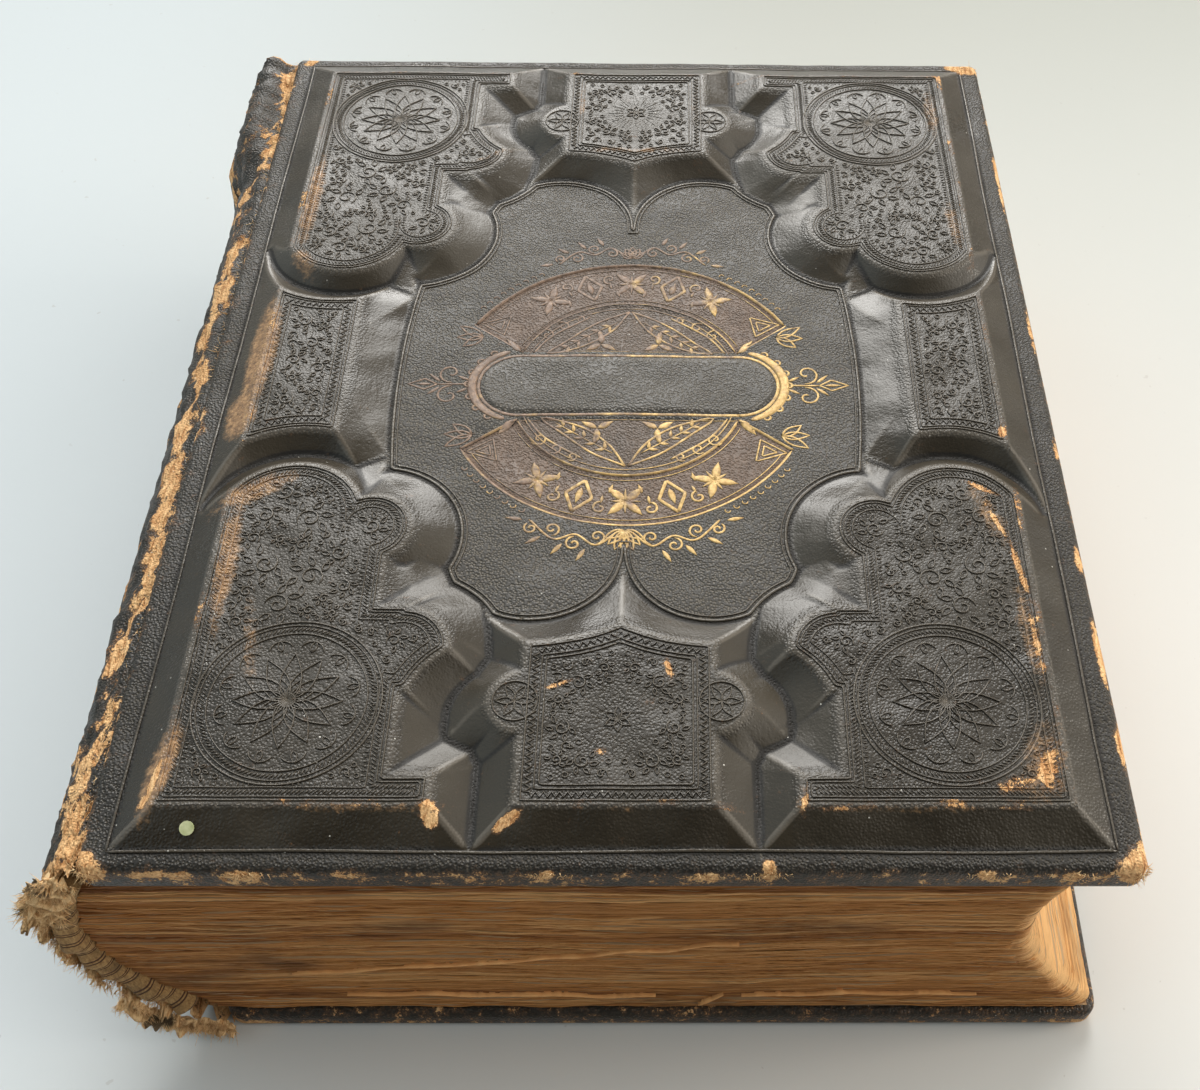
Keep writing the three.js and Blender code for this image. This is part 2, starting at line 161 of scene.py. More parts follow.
class Shade:
    """One material's node tree, with short ways to add and join nodes."""

    def __init__(self, name):
        self.material = bpy.data.materials.new(name)
        self.material.use_nodes = True
        self.tree = self.material.node_tree
        self.surface = self.tree.nodes["Principled BSDF"]
        places = self.tree.nodes.new("ShaderNodeTexCoord").outputs
        self.place, self.facing = places["Object"], places["Normal"]

    def join(self, node, inputs):
        for key, value in inputs.items():
            if isinstance(value, bpy.types.NodeSocket):
                self.tree.links.new(value, node.inputs[key])
            elif value is not None:
                node.inputs[key].default_value = value
        return node

    def noise(self, scale, detail=2.0, rough=0.55, stretch=None, twist=0.0):
        node = self.tree.nodes.new("ShaderNodeTexNoise")
        where = self.place
        if stretch:
            stretched = self.tree.nodes.new("ShaderNodeVectorMath")
            stretched.operation = "MULTIPLY"
            where = self.join(stretched, {0: self.place, 1: stretch}).outputs[0]
        inputs = {"Vector": where, "Scale": scale, "Detail": detail, "Roughness": rough}
        return self.join(node, inputs | {"Distortion": twist}).outputs["Fac"]

    def cells(self, scale):
        node = self.tree.nodes.new("ShaderNodeTexVoronoi")
        return self.join(node, {"Vector": self.place, "Scale": scale}).outputs["Distance"]

    def attribute(self, name):
        node = self.tree.nodes.new("ShaderNodeAttribute")
        node.attribute_name = name
        return node.outputs["Fac"]

    def axis(self, letter, of=None):
        node = self.tree.nodes.new("ShaderNodeSeparateXYZ")
        return self.join(node, {0: of or self.place}).outputs[letter]

    def calc(self, operation, a, b=None):
        node = self.tree.nodes.new("ShaderNodeMath")
        node.operation = operation
        return self.join(node, {0: a, 1: b}).outputs[0]

    def times(self, a, b):
        return self.calc("MULTIPLY", a, b)

    def plus(self, a, b):
        return self.calc("ADD", a, b)

    def ease(self, value, low, high, start=0.0, end=1.0):
        node = self.tree.nodes.new("ShaderNodeMapRange")
        node.interpolation_type = "SMOOTHSTEP"
        inputs = {"Value": value, "From Min": low, "From Max": high}
        return self.join(node, inputs | {"To Min": start, "To Max": end}).outputs["Result"]

    def ramp(self, value, *stops):
        node = self.tree.nodes.new("ShaderNodeValToRGB")
        ramp = node.color_ramp
        while len(ramp.elements) < len(stops):
            ramp.elements.new(1)
        for element, (position, colour) in zip(ramp.elements, stops):
            element.position = position
            element.color = (*colour, 1)
        return self.join(node, {"Fac": value}).outputs["Color"]

    def mix(self, a, b, factor):
        node = self.tree.nodes.new("ShaderNodeMix")
        node.data_type = "RGBA"
        a, b = ((*c, 1) if isinstance(c, tuple) else c for c in (a, b))
        return self.join(node, {0: factor, 6: a, 7: b}).outputs[2]

    def bump(self, height, distance, strength=1.0, over=None):
        node = self.tree.nodes.new("ShaderNodeBump")
        inputs = {"Height": height, "Distance": distance * MM, "Strength": strength}
        return self.join(node, inputs | {"Normal": over}).outputs["Normal"]

    def finish(self, **inputs):
        self.join(self.surface, {k.replace("_", " "): v for k, v in inputs.items()})
        return self.material


BLOOM_AND_SHEEN = (0.23, 0.205, 0.17)  # the dull bloom on old leather, also laid on as a painted sheen
FIBRE_DARK = (0.105, 0.045, 0.016)
FIBRE = (0.50, 0.235, 0.082)
FIBRE_PALE = (0.86, 0.54, 0.26)


def leather_material(name):
    """Near-black pebbled leather, smooth and shiny where burnished, with the tan fibres
    underneath showing where the wear attribute is high. Crests and the tops of tooled lines get
    a painted highlight, crevices and the feet of tooled lines painted shade, and the head a
    painted sheen."""
    s = Shade(name)
    speck = s.noise(1700, 3, 0.7)
    patch = s.noise(190, 4, 0.6)
    middle = s.noise(560, 3, 0.65)
    broad = s.noise(28, 3)
    burnish = s.attribute("burnish")
    breakup = s.plus(s.times(speck, 0.8), patch)
    breakup = s.plus(breakup, s.times(middle, 1.1))
    loose = s.calc("SUBTRACT", breakup, 1.45)
    wear = s.plus(s.attribute("wear"), loose)
    bare = s.ease(wear, 0.50, 0.60)
    stained = s.ease(wear, 0.22, 0.55)
    skin = s.ramp(broad, (0.3, (0.0190, 0.0142, 0.0080)), (0.7, (0.038, 0.0300, 0.0185)))
    # Pale dust specks, weaker where burnished, laid on more towards the head as a painted sheen;
    # the dust attribute per point holds them off the cover's sides, which stay dark as painted
    # shade.
    dusty = s.ease(s.axis("Y"), -0.15, 0.13, 0.14, 0.80)
    dusty = s.times(dusty, s.calc("SUBTRACT", 1.2, burnish))
    dusty = s.times(dusty, s.attribute("dust"))
    dust = s.times(s.ease(s.noise(2600, 2, 0.7), 0.5, 0.78), dusty)
    skin = s.mix(skin, (0.21, 0.19, 0.16), dust)
    # More bloom on the low field and the label, partly a painted sheen.
    skin = s.mix(skin, BLOOM_AND_SHEEN, s.ease(s.attribute("dust"), 1.0, 1.9, 0.0, 0.30))
    # A painted sheen: more of the bloom colour towards the head.
    skin = s.mix(skin, BLOOM_AND_SHEEN, s.ease(s.axis("Y"), -0.15, 0.12, 0.0, 0.13))
    # Tooled lines: the tops paler, partly rubbed and partly a painted highlight that grows towards
    # the head; the feet near-black, a painted shade.
    line = s.attribute("line")
    headward_sheen = s.ease(s.axis("Y"), -0.15, 0.08, 0.55, 1.0)
    line_top_rub_and_highlight = s.times(s.ease(line, 0.0, 1.0, 0.0, 0.62), headward_sheen)
    skin = s.mix(skin, (0.17, 0.145, 0.115), line_top_rub_and_highlight)
    skin = s.mix(skin, (0.0045, 0.0035, 0.0025), s.ease(line, -1.0, -0.1, 0.85, 0.0))
    # Painted highlight on crests and painted shade in crevices, by how far the relief stands out
    # from or lies in its surroundings.
    form = s.attribute("form")
    ridge = s.ease(form, 0.10, 0.85, 0.0, 0.55)
    crevice = s.ease(form, -0.75, -0.06, 1.0, 0.0)
    skin = s.mix(skin, (0.150, 0.130, 0.105), ridge)
    skin = s.mix(skin, (0.0065, 0.0050, 0.0038), s.times(crevice, 0.9))
    pebble = s.ease(s.cells(1350), 0.0, 0.75)
    between = s.times(s.ease(pebble, 0.45, 0.85), s.calc("SUBTRACT", 1.0, burnish))
    skin = s.mix(skin, (0.010, 0.008, 0.006), s.times(between, 0.8))
    ground = s.times(s.ease(s.attribute("ground"), 0.42, 0.58), 0.92)
    band = s.ramp(patch, (0.3, (0.092, 0.058, 0.040)), (0.7, (0.160, 0.105, 0.074)))
    skin = s.mix(skin, band, ground)
    skin = s.mix(skin, (0.115, 0.062, 0.031), s.times(stained, 0.8))
    rub = s.plus(s.attribute("rub"), s.times(loose, 0.55))
    tint = s.ramp(middle, (0.35, (0.17, 0.092, 0.046)), (0.68, (0.52, 0.310, 0.150)))
    skin = s.mix(skin, tint, s.times(s.ease(rub, 0.34, 0.95), 0.85))
    streak = s.noise(620, 4, 0.7, (1, 0.22, 1), 1.2)
    fibres = s.ramp(streak, (0.26, FIBRE_DARK), (0.40, FIBRE), (0.58, FIBRE_PALE))
    grime = s.ease(s.noise(330, 4, 0.75), 0.60, 0.70, 0.0, 0.85)
    fibres = s.mix(fibres, (0.05, 0.026, 0.014), grime)
    colour = s.mix(skin, fibres, bare)
    crumb = s.times(s.ease(s.cells(175), 0.028, 0.045, 1.0, 0.0), 0.8)
    colour = s.mix(colour, (0.62, 0.60, 0.55), crumb)
    smooth = s.times(burnish, -0.20)
    rough = s.plus(s.plus(0.44, smooth), s.times(patch, 0.1))
    rough = s.plus(rough, s.times(bare, 0.35))
    rough = s.plus(rough, s.times(crevice, 0.25))
    rough = s.plus(rough, s.ease(broad, 0.3, 0.7, -0.07, 0.09))
    grain = s.times(s.calc("SUBTRACT", 1.12, burnish), 0.8)
    normal = s.bump(s.times(pebble, grain), 0.27, 1.0)
    normal = s.bump(s.times(streak, bare), 0.7, 1.0, normal)
    normal = s.bump(middle, 0.16, 0.7, normal)
    normal = s.bump(s.noise(62, 1, 0.4), 1.5, 1.0, normal)
    return s.finish(
        Base_Color=colour, Roughness=rough, Normal=normal, Specular_IOR_Level=0.41
    )


def fibre_material():
    """The raw tan fibres of torn leather."""
    s = Shade("torn_leather")
    streak = s.noise(420, 5, 0.7, (1.0, 0.4, 1.0), 2.0)
    colour = s.ramp(
        streak, (0.24, FIBRE_DARK), (0.38, (0.60, 0.31, 0.112)), (0.55, (0.98, 0.70, 0.38))
    )
    dark = s.ease(s.noise(95, 3, 0.6), 0.63, 0.70)
    colour = s.mix(colour, (0.028, 0.020, 0.014), s.times(dark, 0.85))
    normal = s.bump(streak, 0.9, 1.0)
    return s.finish(Base_Color=colour, Roughness=0.88, Normal=normal)


def gilding_material():
    """Gold leaf, rubbed away to a coppery brown towards the spine."""
    s = Shade("worn_gilding")
    across = s.times(s.axis("X"), 4.6)
    down = s.times(s.axis("Y"), -2.6)
    keep = s.plus(s.plus(across, down), s.noise(170, 4, 0.65))
    kept = s.ease(keep, 0.34, 0.66)
    gold = s.ramp(s.noise(900, 2), (0.3, (0.40, 0.24, 0.075)), (0.7, (0.66, 0.46, 0.19)))
    copper = s.ramp(s.noise(700, 3), (0.35, (0.120, 0.075, 0.050)), (0.75, (0.30, 0.190, 0.125)))
    rough = s.ease(s.noise(1200, 2), 0.2, 0.8, 0.46, 0.64)
    return s.finish(
        Base_Color=s.mix(copper, gold, kept),
        Metallic=s.times(kept, 0.25),
        Roughness=rough,
        Normal=s.bump(s.noise(1600, 2), 0.05, 0.6),
    )


def page_edge_material():
    """Brown page edges: one tone per leaf, with painted shade towards the spine and between
    leaves, and a painted highlight on the fore-edge and, with rubbing, on its corners.
    """
    s = Shade("page_edges")
    fine = s.noise(260, 5, 0.8, (0.02, 0.02, 20.0))
    stain = s.noise(22, 4, 0.6, (1, 1, 2.2))
    # The tone attribute holds each leaf's own tone, with a painted highlight on the fore-edge and
    # its corners and painted shade near the spine.
    tone = s.plus(s.times(fine, 0.85), s.attribute("tone"))
    tone = s.calc("SUBTRACT", tone, 0.14)
    colour = s.ramp(
        tone,
        (0.14, (0.165, 0.052, 0.012)),
        (0.42, (0.385, 0.145, 0.032)),
        (0.66, (0.620, 0.275, 0.075)),
        (0.92, (0.86, 0.500, 0.205)),
    )
    colour = s.mix(colour, (0.13, 0.055, 0.022), s.ease(stain, 0.52, 0.74, 0.0, 0.65))
    # Painted shade between the leaves.
    colour = s.mix(colour, (0.035, 0.017, 0.008), s.attribute("gap"))
    page = s.ramp(s.noise(14, 5, 0.6), (0.3, (0.58, 0.41, 0.24)), (0.75, (0.40, 0.26, 0.13)))
    colour = s.mix(colour, page, s.ease(s.axis("Z", s.facing), 0.85, 0.97))
    normal = s.bump(fine, 0.55, 1.0)
    return s.finish(Base_Color=colour, Roughness=0.86, Normal=normal)


def paper_material(name, light, dark, spots):
    """Clouded old paper with foxing."""
    s = Shade(name)
    cloud = s.noise(14, 5, 0.6)
    colour = s.ramp(cloud, (0.3, light), (0.75, dark))
    foxing = s.ease(s.noise(95, 3, 0.6), 0.62, 0.74, 0.0, 0.7)
    colour = s.mix(colour, spots, foxing)
    fibre = s.noise(900, 3, 0.7)
    colour = s.mix(colour, dark, s.times(fibre, 0.3))
    normal = s.bump(fibre, 0.05, 0.6, s.bump(s.noise(30, 3), 0.6, 0.5))
    return s.finish(Base_Color=colour, Roughness=0.9, Normal=normal)


def board_material():
    """Layered grey-brown millboard."""
    s = Shade("millboard")
    flake = s.noise(260, 4, 0.7, (0.5, 0.5, 6.0))
    colour = s.ramp(flake, (0.3, (0.17, 0.11, 0.065)), (0.7, (0.40, 0.29, 0.18)))
    return s.finish(Base_Color=colour, Roughness=0.93, Normal=s.bump(flake, 0.3, 0.8))


def weave_material(name, light, dark, threads):
    """Open plain-weave cloth, or twisted cord when the threads run one way."""
    s = Shade(name)
    warp = s.calc("SINE", s.times(s.axis("Y"), threads))
    weft = s.calc("SINE", s.times(s.axis("Z"), threads))
    weave = s.times(s.plus(s.plus(warp, weft), 2.0), 0.25)
    tone = s.plus(s.times(weave, 0.6), s.times(s.noise(180, 4), 0.4))
    colour = s.ramp(tone, (0.25, dark), (0.75, light))
    return s.finish(Base_Color=colour, Roughness=0.95, Normal=s.bump(weave, 0.25, 0.8))


def band_material():
    """Tan cloth with dark red-brown stripes, set by the stripe attribute."""
    s = Shade("striped_band")
    thread = s.noise(1500, 3, 0.7, (1, 1, 0.3))
    colour = s.ramp(thread, (0.3, (0.20, 0.105, 0.037)), (0.7, (0.46, 0.285, 0.115)))
    stripe = s.ease(s.attribute("stripe"), 0.25, 0.5)
    colour = s.mix(colour, (0.050, 0.015, 0.010), s.times(stripe, 0.9))
    dirt = s.ease(s.noise(110, 3), 0.52, 0.7, 0.0, 0.6)
    colour = s.mix(colour, (0.06, 0.04, 0.022), dirt)
    return s.finish(Base_Color=colour, Roughness=0.93, Normal=s.bump(thread, 0.25, 0.9))


def sticker_material():
    """A faded green-yellow paper dot."""
    s = Shade("sticker")
    colour = s.ramp(s.noise(420, 3), (0.3, (0.42, 0.46, 0.22)), (0.7, (0.66, 0.68, 0.42)))
    normal = s.bump(s.noise(700, 2), 0.06, 0.6)
    return s.finish(Base_Color=colour, Roughness=0.5, Normal=normal)


def floor_material():
    """A pale painted table, faintly clouded and specked, with painted shade towards the head and a
    painted cool light on the left.
    """
    s = Shade("pale_table")
    cloud = s.noise(3.0, 3, 0.5)
    colour = s.ramp(cloud, (0.3, (0.64, 0.65, 0.64)), (0.7, (0.685, 0.695, 0.685)))
    # Painted shade: the table darker towards the head.
    colour = s.mix(colour, (0.40, 0.41, 0.375), s.ease(s.axis("Y"), -0.1, 0.6, 0.0, 1.0))
    # A painted cool light: bluish towards the left.
    colour = s.mix(colour, (0.60, 0.66, 0.70), s.ease(s.axis("X"), -0.32, 0.1, 0.8, 0.0))
    speck = s.ease(s.noise(260, 2, 0.5), 0.735, 0.76, 0.0, 0.35)
    colour = s.mix(colour, (0.42, 0.41, 0.39), speck)
    normal = s.bump(s.noise(120, 3), 0.12, 0.4)
    return s.finish(Base_Color=colour, Roughness=0.9, Normal=normal, Specular_IOR_Level=0.04)


LEATHER = leather_material("old_leather")
TORN = fibre_material()
GILDING = gilding_material()
PAGE_EDGE = page_edge_material()
ENDPAPER = paper_material("endpaper", (0.52, 0.36, 0.20), (0.34, 0.20, 0.10), (0.22, 0.11, 0.045))
PAGE = paper_material("page_paper", (0.58, 0.43, 0.26), (0.40, 0.26, 0.13), (0.25, 0.13, 0.06))
TORN_PAPER = paper_material(
    "torn_paper", (0.92, 0.50, 0.20), (0.62, 0.30, 0.10), (0.30, 0.13, 0.04)
)
BOARD = board_material()
MULL = weave_material("mull", (0.58, 0.48, 0.32), (0.20, 0.14, 0.08), 5200)
CORD = weave_material("cord", (0.48, 0.36, 0.20), (0.16, 0.10, 0.05), 3600)
STRIPED = band_material()
STICKER = sticker_material()


# ---- Mesh helpers ----


def quads(rows, cols, wrap=False):
    """The faces of a grid of points, row by row; wrap joins the last column to the first."""
    index = np.arange(rows * cols).reshape(rows, cols)
    if wrap:
        index = np.concatenate([index, index[:, :1]], 1)
    corners = (index[:-1, :-1], index[:-1, 1:], index[1:, 1:], index[1:, :-1])
    return np.stack(corners, -1).reshape(-1, 4).tolist()


def build(name, points, faces, material, body, slot, closed=True, **attributes):
    """A smooth mesh piece that rides on a body, with a float attribute per point. The faces of
    a closed piece are turned outwards."""
    mesh = bpy.data.meshes.new(name)
    mesh.from_pydata((np.asarray(points, float) * MM).tolist(), [], faces)
    for key, values in attributes.items():
        layer = mesh.attributes.new(key, "FLOAT", "POINT")
        layer.data.foreach_set("value", np.asarray(values, np.float32).ravel())
    if closed:
        shape = bmesh.new()
        shape.from_mesh(mesh)
        bmesh.ops.recalc_face_normals(shape, faces=shape.faces)
        shape.to_mesh(mesh)
        shape.free()
    mesh.shade_smooth()
    mesh.materials.append(material)
    piece = bpy.data.objects.new(name, mesh)
    bpy.context.collection.objects.link(piece)
    if body:
        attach(piece, body)
    return piece


def ripple(a, b, size, seed, waves=8):
    """Smooth random waves of about this size over two coordinates, between about -1.5 and 1.5."""
    rng = np.random.default_rng(seed)
    total = 0.0
    for _ in range(waves):
        angle, phase = rng.uniform(0, TAU, 2)
        k = TAU / size * rng.uniform(0.6, 1.7)
        total = total + np.sin(k * (a * math.cos(angle) + b * math.sin(angle)) + phase)
    return total / math.sqrt(waves / 2)


def smooth(value, low, high):
    """0 under a low value and 1 over a high one, with an eased step between them."""
    t = np.clip((value - low) / (high - low), 0, 1)
    return t * t * (3 - 2 * t)


def unit(angle):
    """The unit vector at an angle in degrees."""
    return np.array([math.cos(math.radians(angle)), math.sin(math.radians(angle))])


# ---- The front cover's relief, from its centre, with its rim at height 0 ----

front_low, front_high = box("front_cover_leather")
back_low, back_high = box("back_cover_leather")
HALF_X = (back_high[0] - back_low[0]) / 2
HALF_Y = (back_high[1] - back_low[1]) / 2
FRONT_X = (front_low[0] + front_high[0]) / 2
BOARD_TOP = box("front_board")[1][2]
FRONT_TOP = BOARD_TOP + 1.5
RELIEF = front_high[2] - FRONT_TOP
CREASE = (118.0, 155.0)
PLATEAU = (108.5, 145.0)  # where the outer slopes reach their full height


def disc(u, v, centre, radius):
    """Distance to a disc, less than 0 inside it."""
    return np.hypot(u - centre[0], v - centre[1]) - radius


def lowest(*values):
    return np.minimum.reduce(np.broadcast_arrays(*values))


def highest(*values):
    return np.maximum.reduce(np.broadcast_arrays(*values))


HEAD_LOBE, SMALL_LOBE, WAIST_LOBE = (91, 59.8), (68.6, 62.4), (56, 101.3)  # their centres


def corner_panel(u, v):
    """Distance to a corner panel: a foot with a medallion, a waist, and a head of two lobes."""
    waist = lowest(disc(u, v, WAIST_LOBE, 12), highest(55 - u, 88.6 - v))
    waist = highest(waist, -disc(u, v, (31, 121), 23.6))
    foot = highest(44.5 - u, 137.5 - v)
    column = highest(63.3 - u, 60 - v)
    lobes = lowest(disc(u, v, HEAD_LOBE, 19.8), disc(u, v, SMALL_LOBE, 10.8))
    return lowest(waist, foot, column, lobes)


def side_panel(u, v):
    """Distance to a side panel, between the head lobes of two corner panels."""
    return highest(83 - u, -disc(u, v, HEAD_LOBE, 33.2))


def shield_panel(u, v):
    """Distance to a shield: a pointed body with a round lobe on each side."""
    body = highest(u - 23.5, -disc(u, v, (25.5, 43), 57))
    return lowest(body, disc(u, v, (23.5, 117), 8.2))


def field(u, v):
    """Distance to the low middle of the cover."""
    return highest(
        lowest(v - 66, disc(u, v, (24, 66), 24.6)),
        -disc(u, v, SMALL_LOBE, 23.4),
        -disc(u, v, WAIST_LOBE, 25.3),
        u - (69.6 - 0.0016 * v * v),
    )


def panel_distances(x, y):
    """The distances to the nearest and the next nearest panel."""
    u, v = np.abs(x), np.abs(y)
    panels = (corner_panel(u, v), corner_panel(-u, v), corner_panel(u, -v))
    return np.sort(np.stack([*panels, side_panel(u, v), shield_panel(u, v)]), 0)[:2]


def inset_of(x, y):
    """Distance inwards from the cover's nearest edge."""
    return lowest(HALF_X - np.abs(x), HALF_Y - np.abs(y))


def inside_edge(x, y):
    """Distance inwards from the straight foot of the outer slopes, as a share of the slope."""
    u, v = np.abs(x), np.abs(y)
    share_x = (CREASE[0] - u) / (CREASE[0] - PLATEAU[0])
    share_y = (CREASE[1] - v) / (CREASE[1] - PLATEAU[1])
    return lowest(share_x, share_y)


def slope_share(x, y):
    """0 on the panels' tops, rising to 1 at the foot of their inner slopes."""
    near, next_near = panel_distances(x, y)
    middle = field(np.abs(x), np.abs(y))
    reach = lowest((near + next_near) / 2, near + np.maximum(middle, 0))
    share = np.where(near <= 0, 0.0, near / np.maximum(reach, 1e-6))
    return np.clip(np.where(middle <= 0, 1.0, share), 0, 1)


# The gilt ornament's ground: two curved bands over and under a rounded label.
ORNAMENT_Y = -4.8
BAND_OUTER, BAND_INNER = 55.0, 34.8
LABEL_END, LABEL_RADIUS = 32.6, 12.0  # the centre and the radius of its round ends
BAND_DROP = 1.7  # the outer arc's centre lies this far to the other side of the label


def band_distance(x, y):
    """Distance to the two bands, less than 0 inside them."""
    v = np.abs(y - ORNAMENT_Y)
    ends = (v - 12.9) * 0.845 - (np.abs(x) - 31.8) * 0.535 * 1.15
    return highest(
        disc(x, v, (0, -BAND_DROP), BAND_OUTER), -disc(x, v, (0, 0), BAND_INNER), -ends
    )


def label_distance(x, y):
    """Distance to the plain rounded label in the middle."""
    return np.hypot(np.maximum(np.abs(x) - LABEL_END, 0), y - ORNAMENT_Y) - LABEL_RADIUS


def pressed(x, y):
    """How deep the ground of the ornament is pressed into the cover; the label is raised."""
    band = smooth(-band_distance(x, y), 0, 0.8)
    roundel = smooth(BAND_INNER - np.hypot(x, y - ORNAMENT_Y), 0, 0.8)
    roundel = roundel * smooth(label_distance(x, y), 1.2, 2.0)
    return 0.38 * np.maximum(band, 0.8 * roundel) - 0.5 * smooth(-label_distance(x, y), 0.2, 2.4)


def relief(x, y):
    """The height of the cover over its rim."""
    share = slope_share(x, y)
    inner = 1 - 1.07 * share * share / (share + 0.07)
    outer = np.clip(inside_edge(x, y), 0, 1)
    outer = np.where(outer > 0.93, 1 - (1 - outer) ** 2 / 0.14, outer * 0.9995)
    sag = 0.10 * ripple(x, y, 70, 3) + 0.05 * ripple(x, y, 21, 4) - pressed(x, y)
    return RELIEF * np.clip(lowest(inner, outer), 0, 1) + sag


def worn_spots(x, y, spots):
    """Wear around a list of oval spots: x, y, half length, half width, turn, strength."""
    total = np.zeros_like(x)
    for cx, cy, length, width, turn, strength in spots:
        c, s = unit(turn)
        a = ((x - cx) * c + (y - cy) * s) / length
        b = ((y - cy) * c - (x - cx) * s) / width
        total = np.maximum(total, strength * np.exp(-((a * a + b * b) ** 1.5)))
    return total


CHIPS = [  # where the leather is chipped away, as worn_spots takes them
    (-109.6, -139, 7, 1.5, 82, 0.8),
    (-111, -144, 3, 1.6, 60, 0.85),
    (-43.6, -147.2, 3.4, 2.1, 110, 1.3),
    (-25.6, -148.6, 3.6, 1.4, 35, 1.3),
    (107.6, -27, 2.2, 1.2, 90, 1.0),
    (98.6, -48, 6, 0.9, 150, 0.9),
    (101.5, -60, 7, 0.9, 110, 0.85),
    (105.5, -76, 11, 1.1, 98, 0.85),
    (106.5, -99, 14, 1.2, 92, 0.72),
    (104, -135, 9, 3.6, 75, 0.70),
    (96, -139.5, 6, 2.0, 20, 0.68),
    (44.7, -143.6, 4, 1.0, 80, 0.7),
    (52, -146, 6, 0.7, 0, 0.6),
    (-60, -145.5, 12, 0.6, 0, 0.45),
    (-14.6, -112, 5, 0.8, 20, 0.55),
    (12.5, -108, 4.5, 1.2, 100, 0.66),
    (-4, -131, 2.0, 1.0, 0, 0.6),
    (119, 157, 7, 3.6, 160, 1.3),
    (-119, 158, 5, 2.4, 60, 0.9),
    (125, -159, 9.0, 6.0, 40, 1.4),
    (-124, -158, 8, 3.6, 150, 1.15),
    (36, -159, 2.6, 1.7, 90, 1.0),
    (-16, -160.1, 2.6, 0.9, 0, 1.0),
    (22, -160.3, 2.4, 0.8, 0, 0.95),
    (66, -160.5, 8, 0.7, 0, 0.75),
    (87, -160, 2.6, 1.1, 0, 1.05),
    (107, -160.3, 3.6, 0.9, 0, 0.95),
    (-86, -160.2, 5.0, 0.9, 0, 0.95),
    (-104, -160.2, 12, 0.8, 0, 0.78),
    (-60, -160.6, 7, 0.6, 0, 0.65),
    (123.6, -69, 5, 1.3, 90, 1.0),
    (123.8, -100, 12, 1.3, 90, 0.95),
    (124, -128, 7, 1.2, 90, 0.95),
    (123.8, -30, 4, 1.0, 90, 0.8),
    (124, 20, 12, 0.9, 90, 0.8),
    (124, 90, 20, 1.0, 90, 0.85),
]
RUBBED = [  # where it is only rubbed brown
    (-105.0, 74, 26, 3.2, 90, 0.85),
    (-103.5, 44, 9, 4.0, 125, 0.75),
    (-109.5, 4, 26, 5.0, 90, 1.1),
    (-111.5, -20, 11, 5.5, 90, 1.05),
    (-102, -50, 14, 4.5, 30, 0.85),
    (-104.5, -74, 26, 3.4, 92, 0.85),
    (-108.8, -136, 15, 4.0, 82, 0.95),
    (-94, -98, 24, 2.6, 100, 0.5),
    (0, 101, 24, 2.2, 0, 0.6),
    (-19, 128, 2.2, 15, 0, 0.5),
    (20, 126, 2.0, 15, 0, 0.4),
    (-48, 98, 10, 2.2, 30, 0.5),
    (103.5, 124, 18, 3.2, 88, 0.62),
    (104.5, 64, 16, 3.0, 95, 0.62),
    (62, 96, 16, 2.0, 0, 0.35),
    (103, -134, 15, 7.0, 75, 0.62),
    (100, -58, 16, 4.0, 110, 0.6),
    (105, -96, 22, 3.0, 92, 0.6),
    (-60, -145.8, 32, 1.5, 0, 0.5),
    (70, -146, 34, 1.4, 0, 0.45),
    (44, -143.6, 6, 2.4, 80, 0.5),
    (0, -146, 20, 1.2, 0, 0.4),
]


def front_wear(x, y):
    """How far the leather is worn through: at the edges, most at the spine, and in chips."""
    from_edge = inset_of(x, y)
    level = np.where((HALF_X - x < 4) & (y < 150), 0.66, 0.46)
    edge = level * np.exp(-np.maximum(from_edge, 0) / 0.9)
    reach = 2.0 + 0.8 * ripple(y, 0 * y, 22, 13) + 0.5 * ripple(y, x, 7, 14)
    spine_side = np.exp(-np.maximum(HALF_X + x, 0) / np.maximum(reach, 0.4))
    wear = np.maximum(edge, (0.50 + 0.24 * ripple(x, y, 30, 11)) * spine_side)
    wear = np.maximum(wear, worn_spots(x, y, CHIPS))
    rim_line = np.abs(inside_edge(x, y) - 1) < 0.12
    return np.maximum(wear, 0.16 * rim_line * (1 + ripple(x, y, 26, 12)))


# ---- Covers: a leather shell of one thickness with rounded, turned-in edges ----

SKIN = 1.2
EDGE_ROUND = 2.4
TURN_IN = 16.0
INSIDE = 0.6  # the leather's turn-in lies this far above the cover's inside plane
UNDER_STEP = 4  # the underside has one point for so many of the outside's
FRONT_STEP, BACK_STEP = 0.62, 1.5


def spread(half, step):
    """Coordinates across a cover, closer together at both edges."""
    near_edge = np.array([0, 0.12, 0.3, 0.6, 1.0, 1.5, 2.1, 2.8])
    even = half - 3.5
    count = int(round(2 * even / step / UNDER_STEP)) * UNDER_STEP + 1
    inner = np.linspace(-even, even, count)
    return np.concatenate([near_edge - half, inner, (half - near_edge)[::-1]])


def border(index):
    """The way round a grid of point numbers."""
    return np.concatenate([index[0, :-1], index[:-1, -1], index[-1, :0:-1], index[:0:-1, 0]])


def round_plan(x, y, corner):
    """The cover's plan with its square corners drawn in to round ones."""
    over_x, over_y = np.abs(x) - HALF_X + corner, np.abs(y) - HALF_Y + corner
    both = (over_x > 0) & (over_y > 0)
    shrink = np.where(both, highest(over_x, over_y) / np.maximum(np.hypot(over_x, over_y), 1e-9), 1)
    px = np.where(both, np.sign(x) * (HALF_X - corner + over_x * shrink), x)
    py = np.where(both, np.sign(y) * (HALF_Y - corner + over_y * shrink), y)
    return px, py


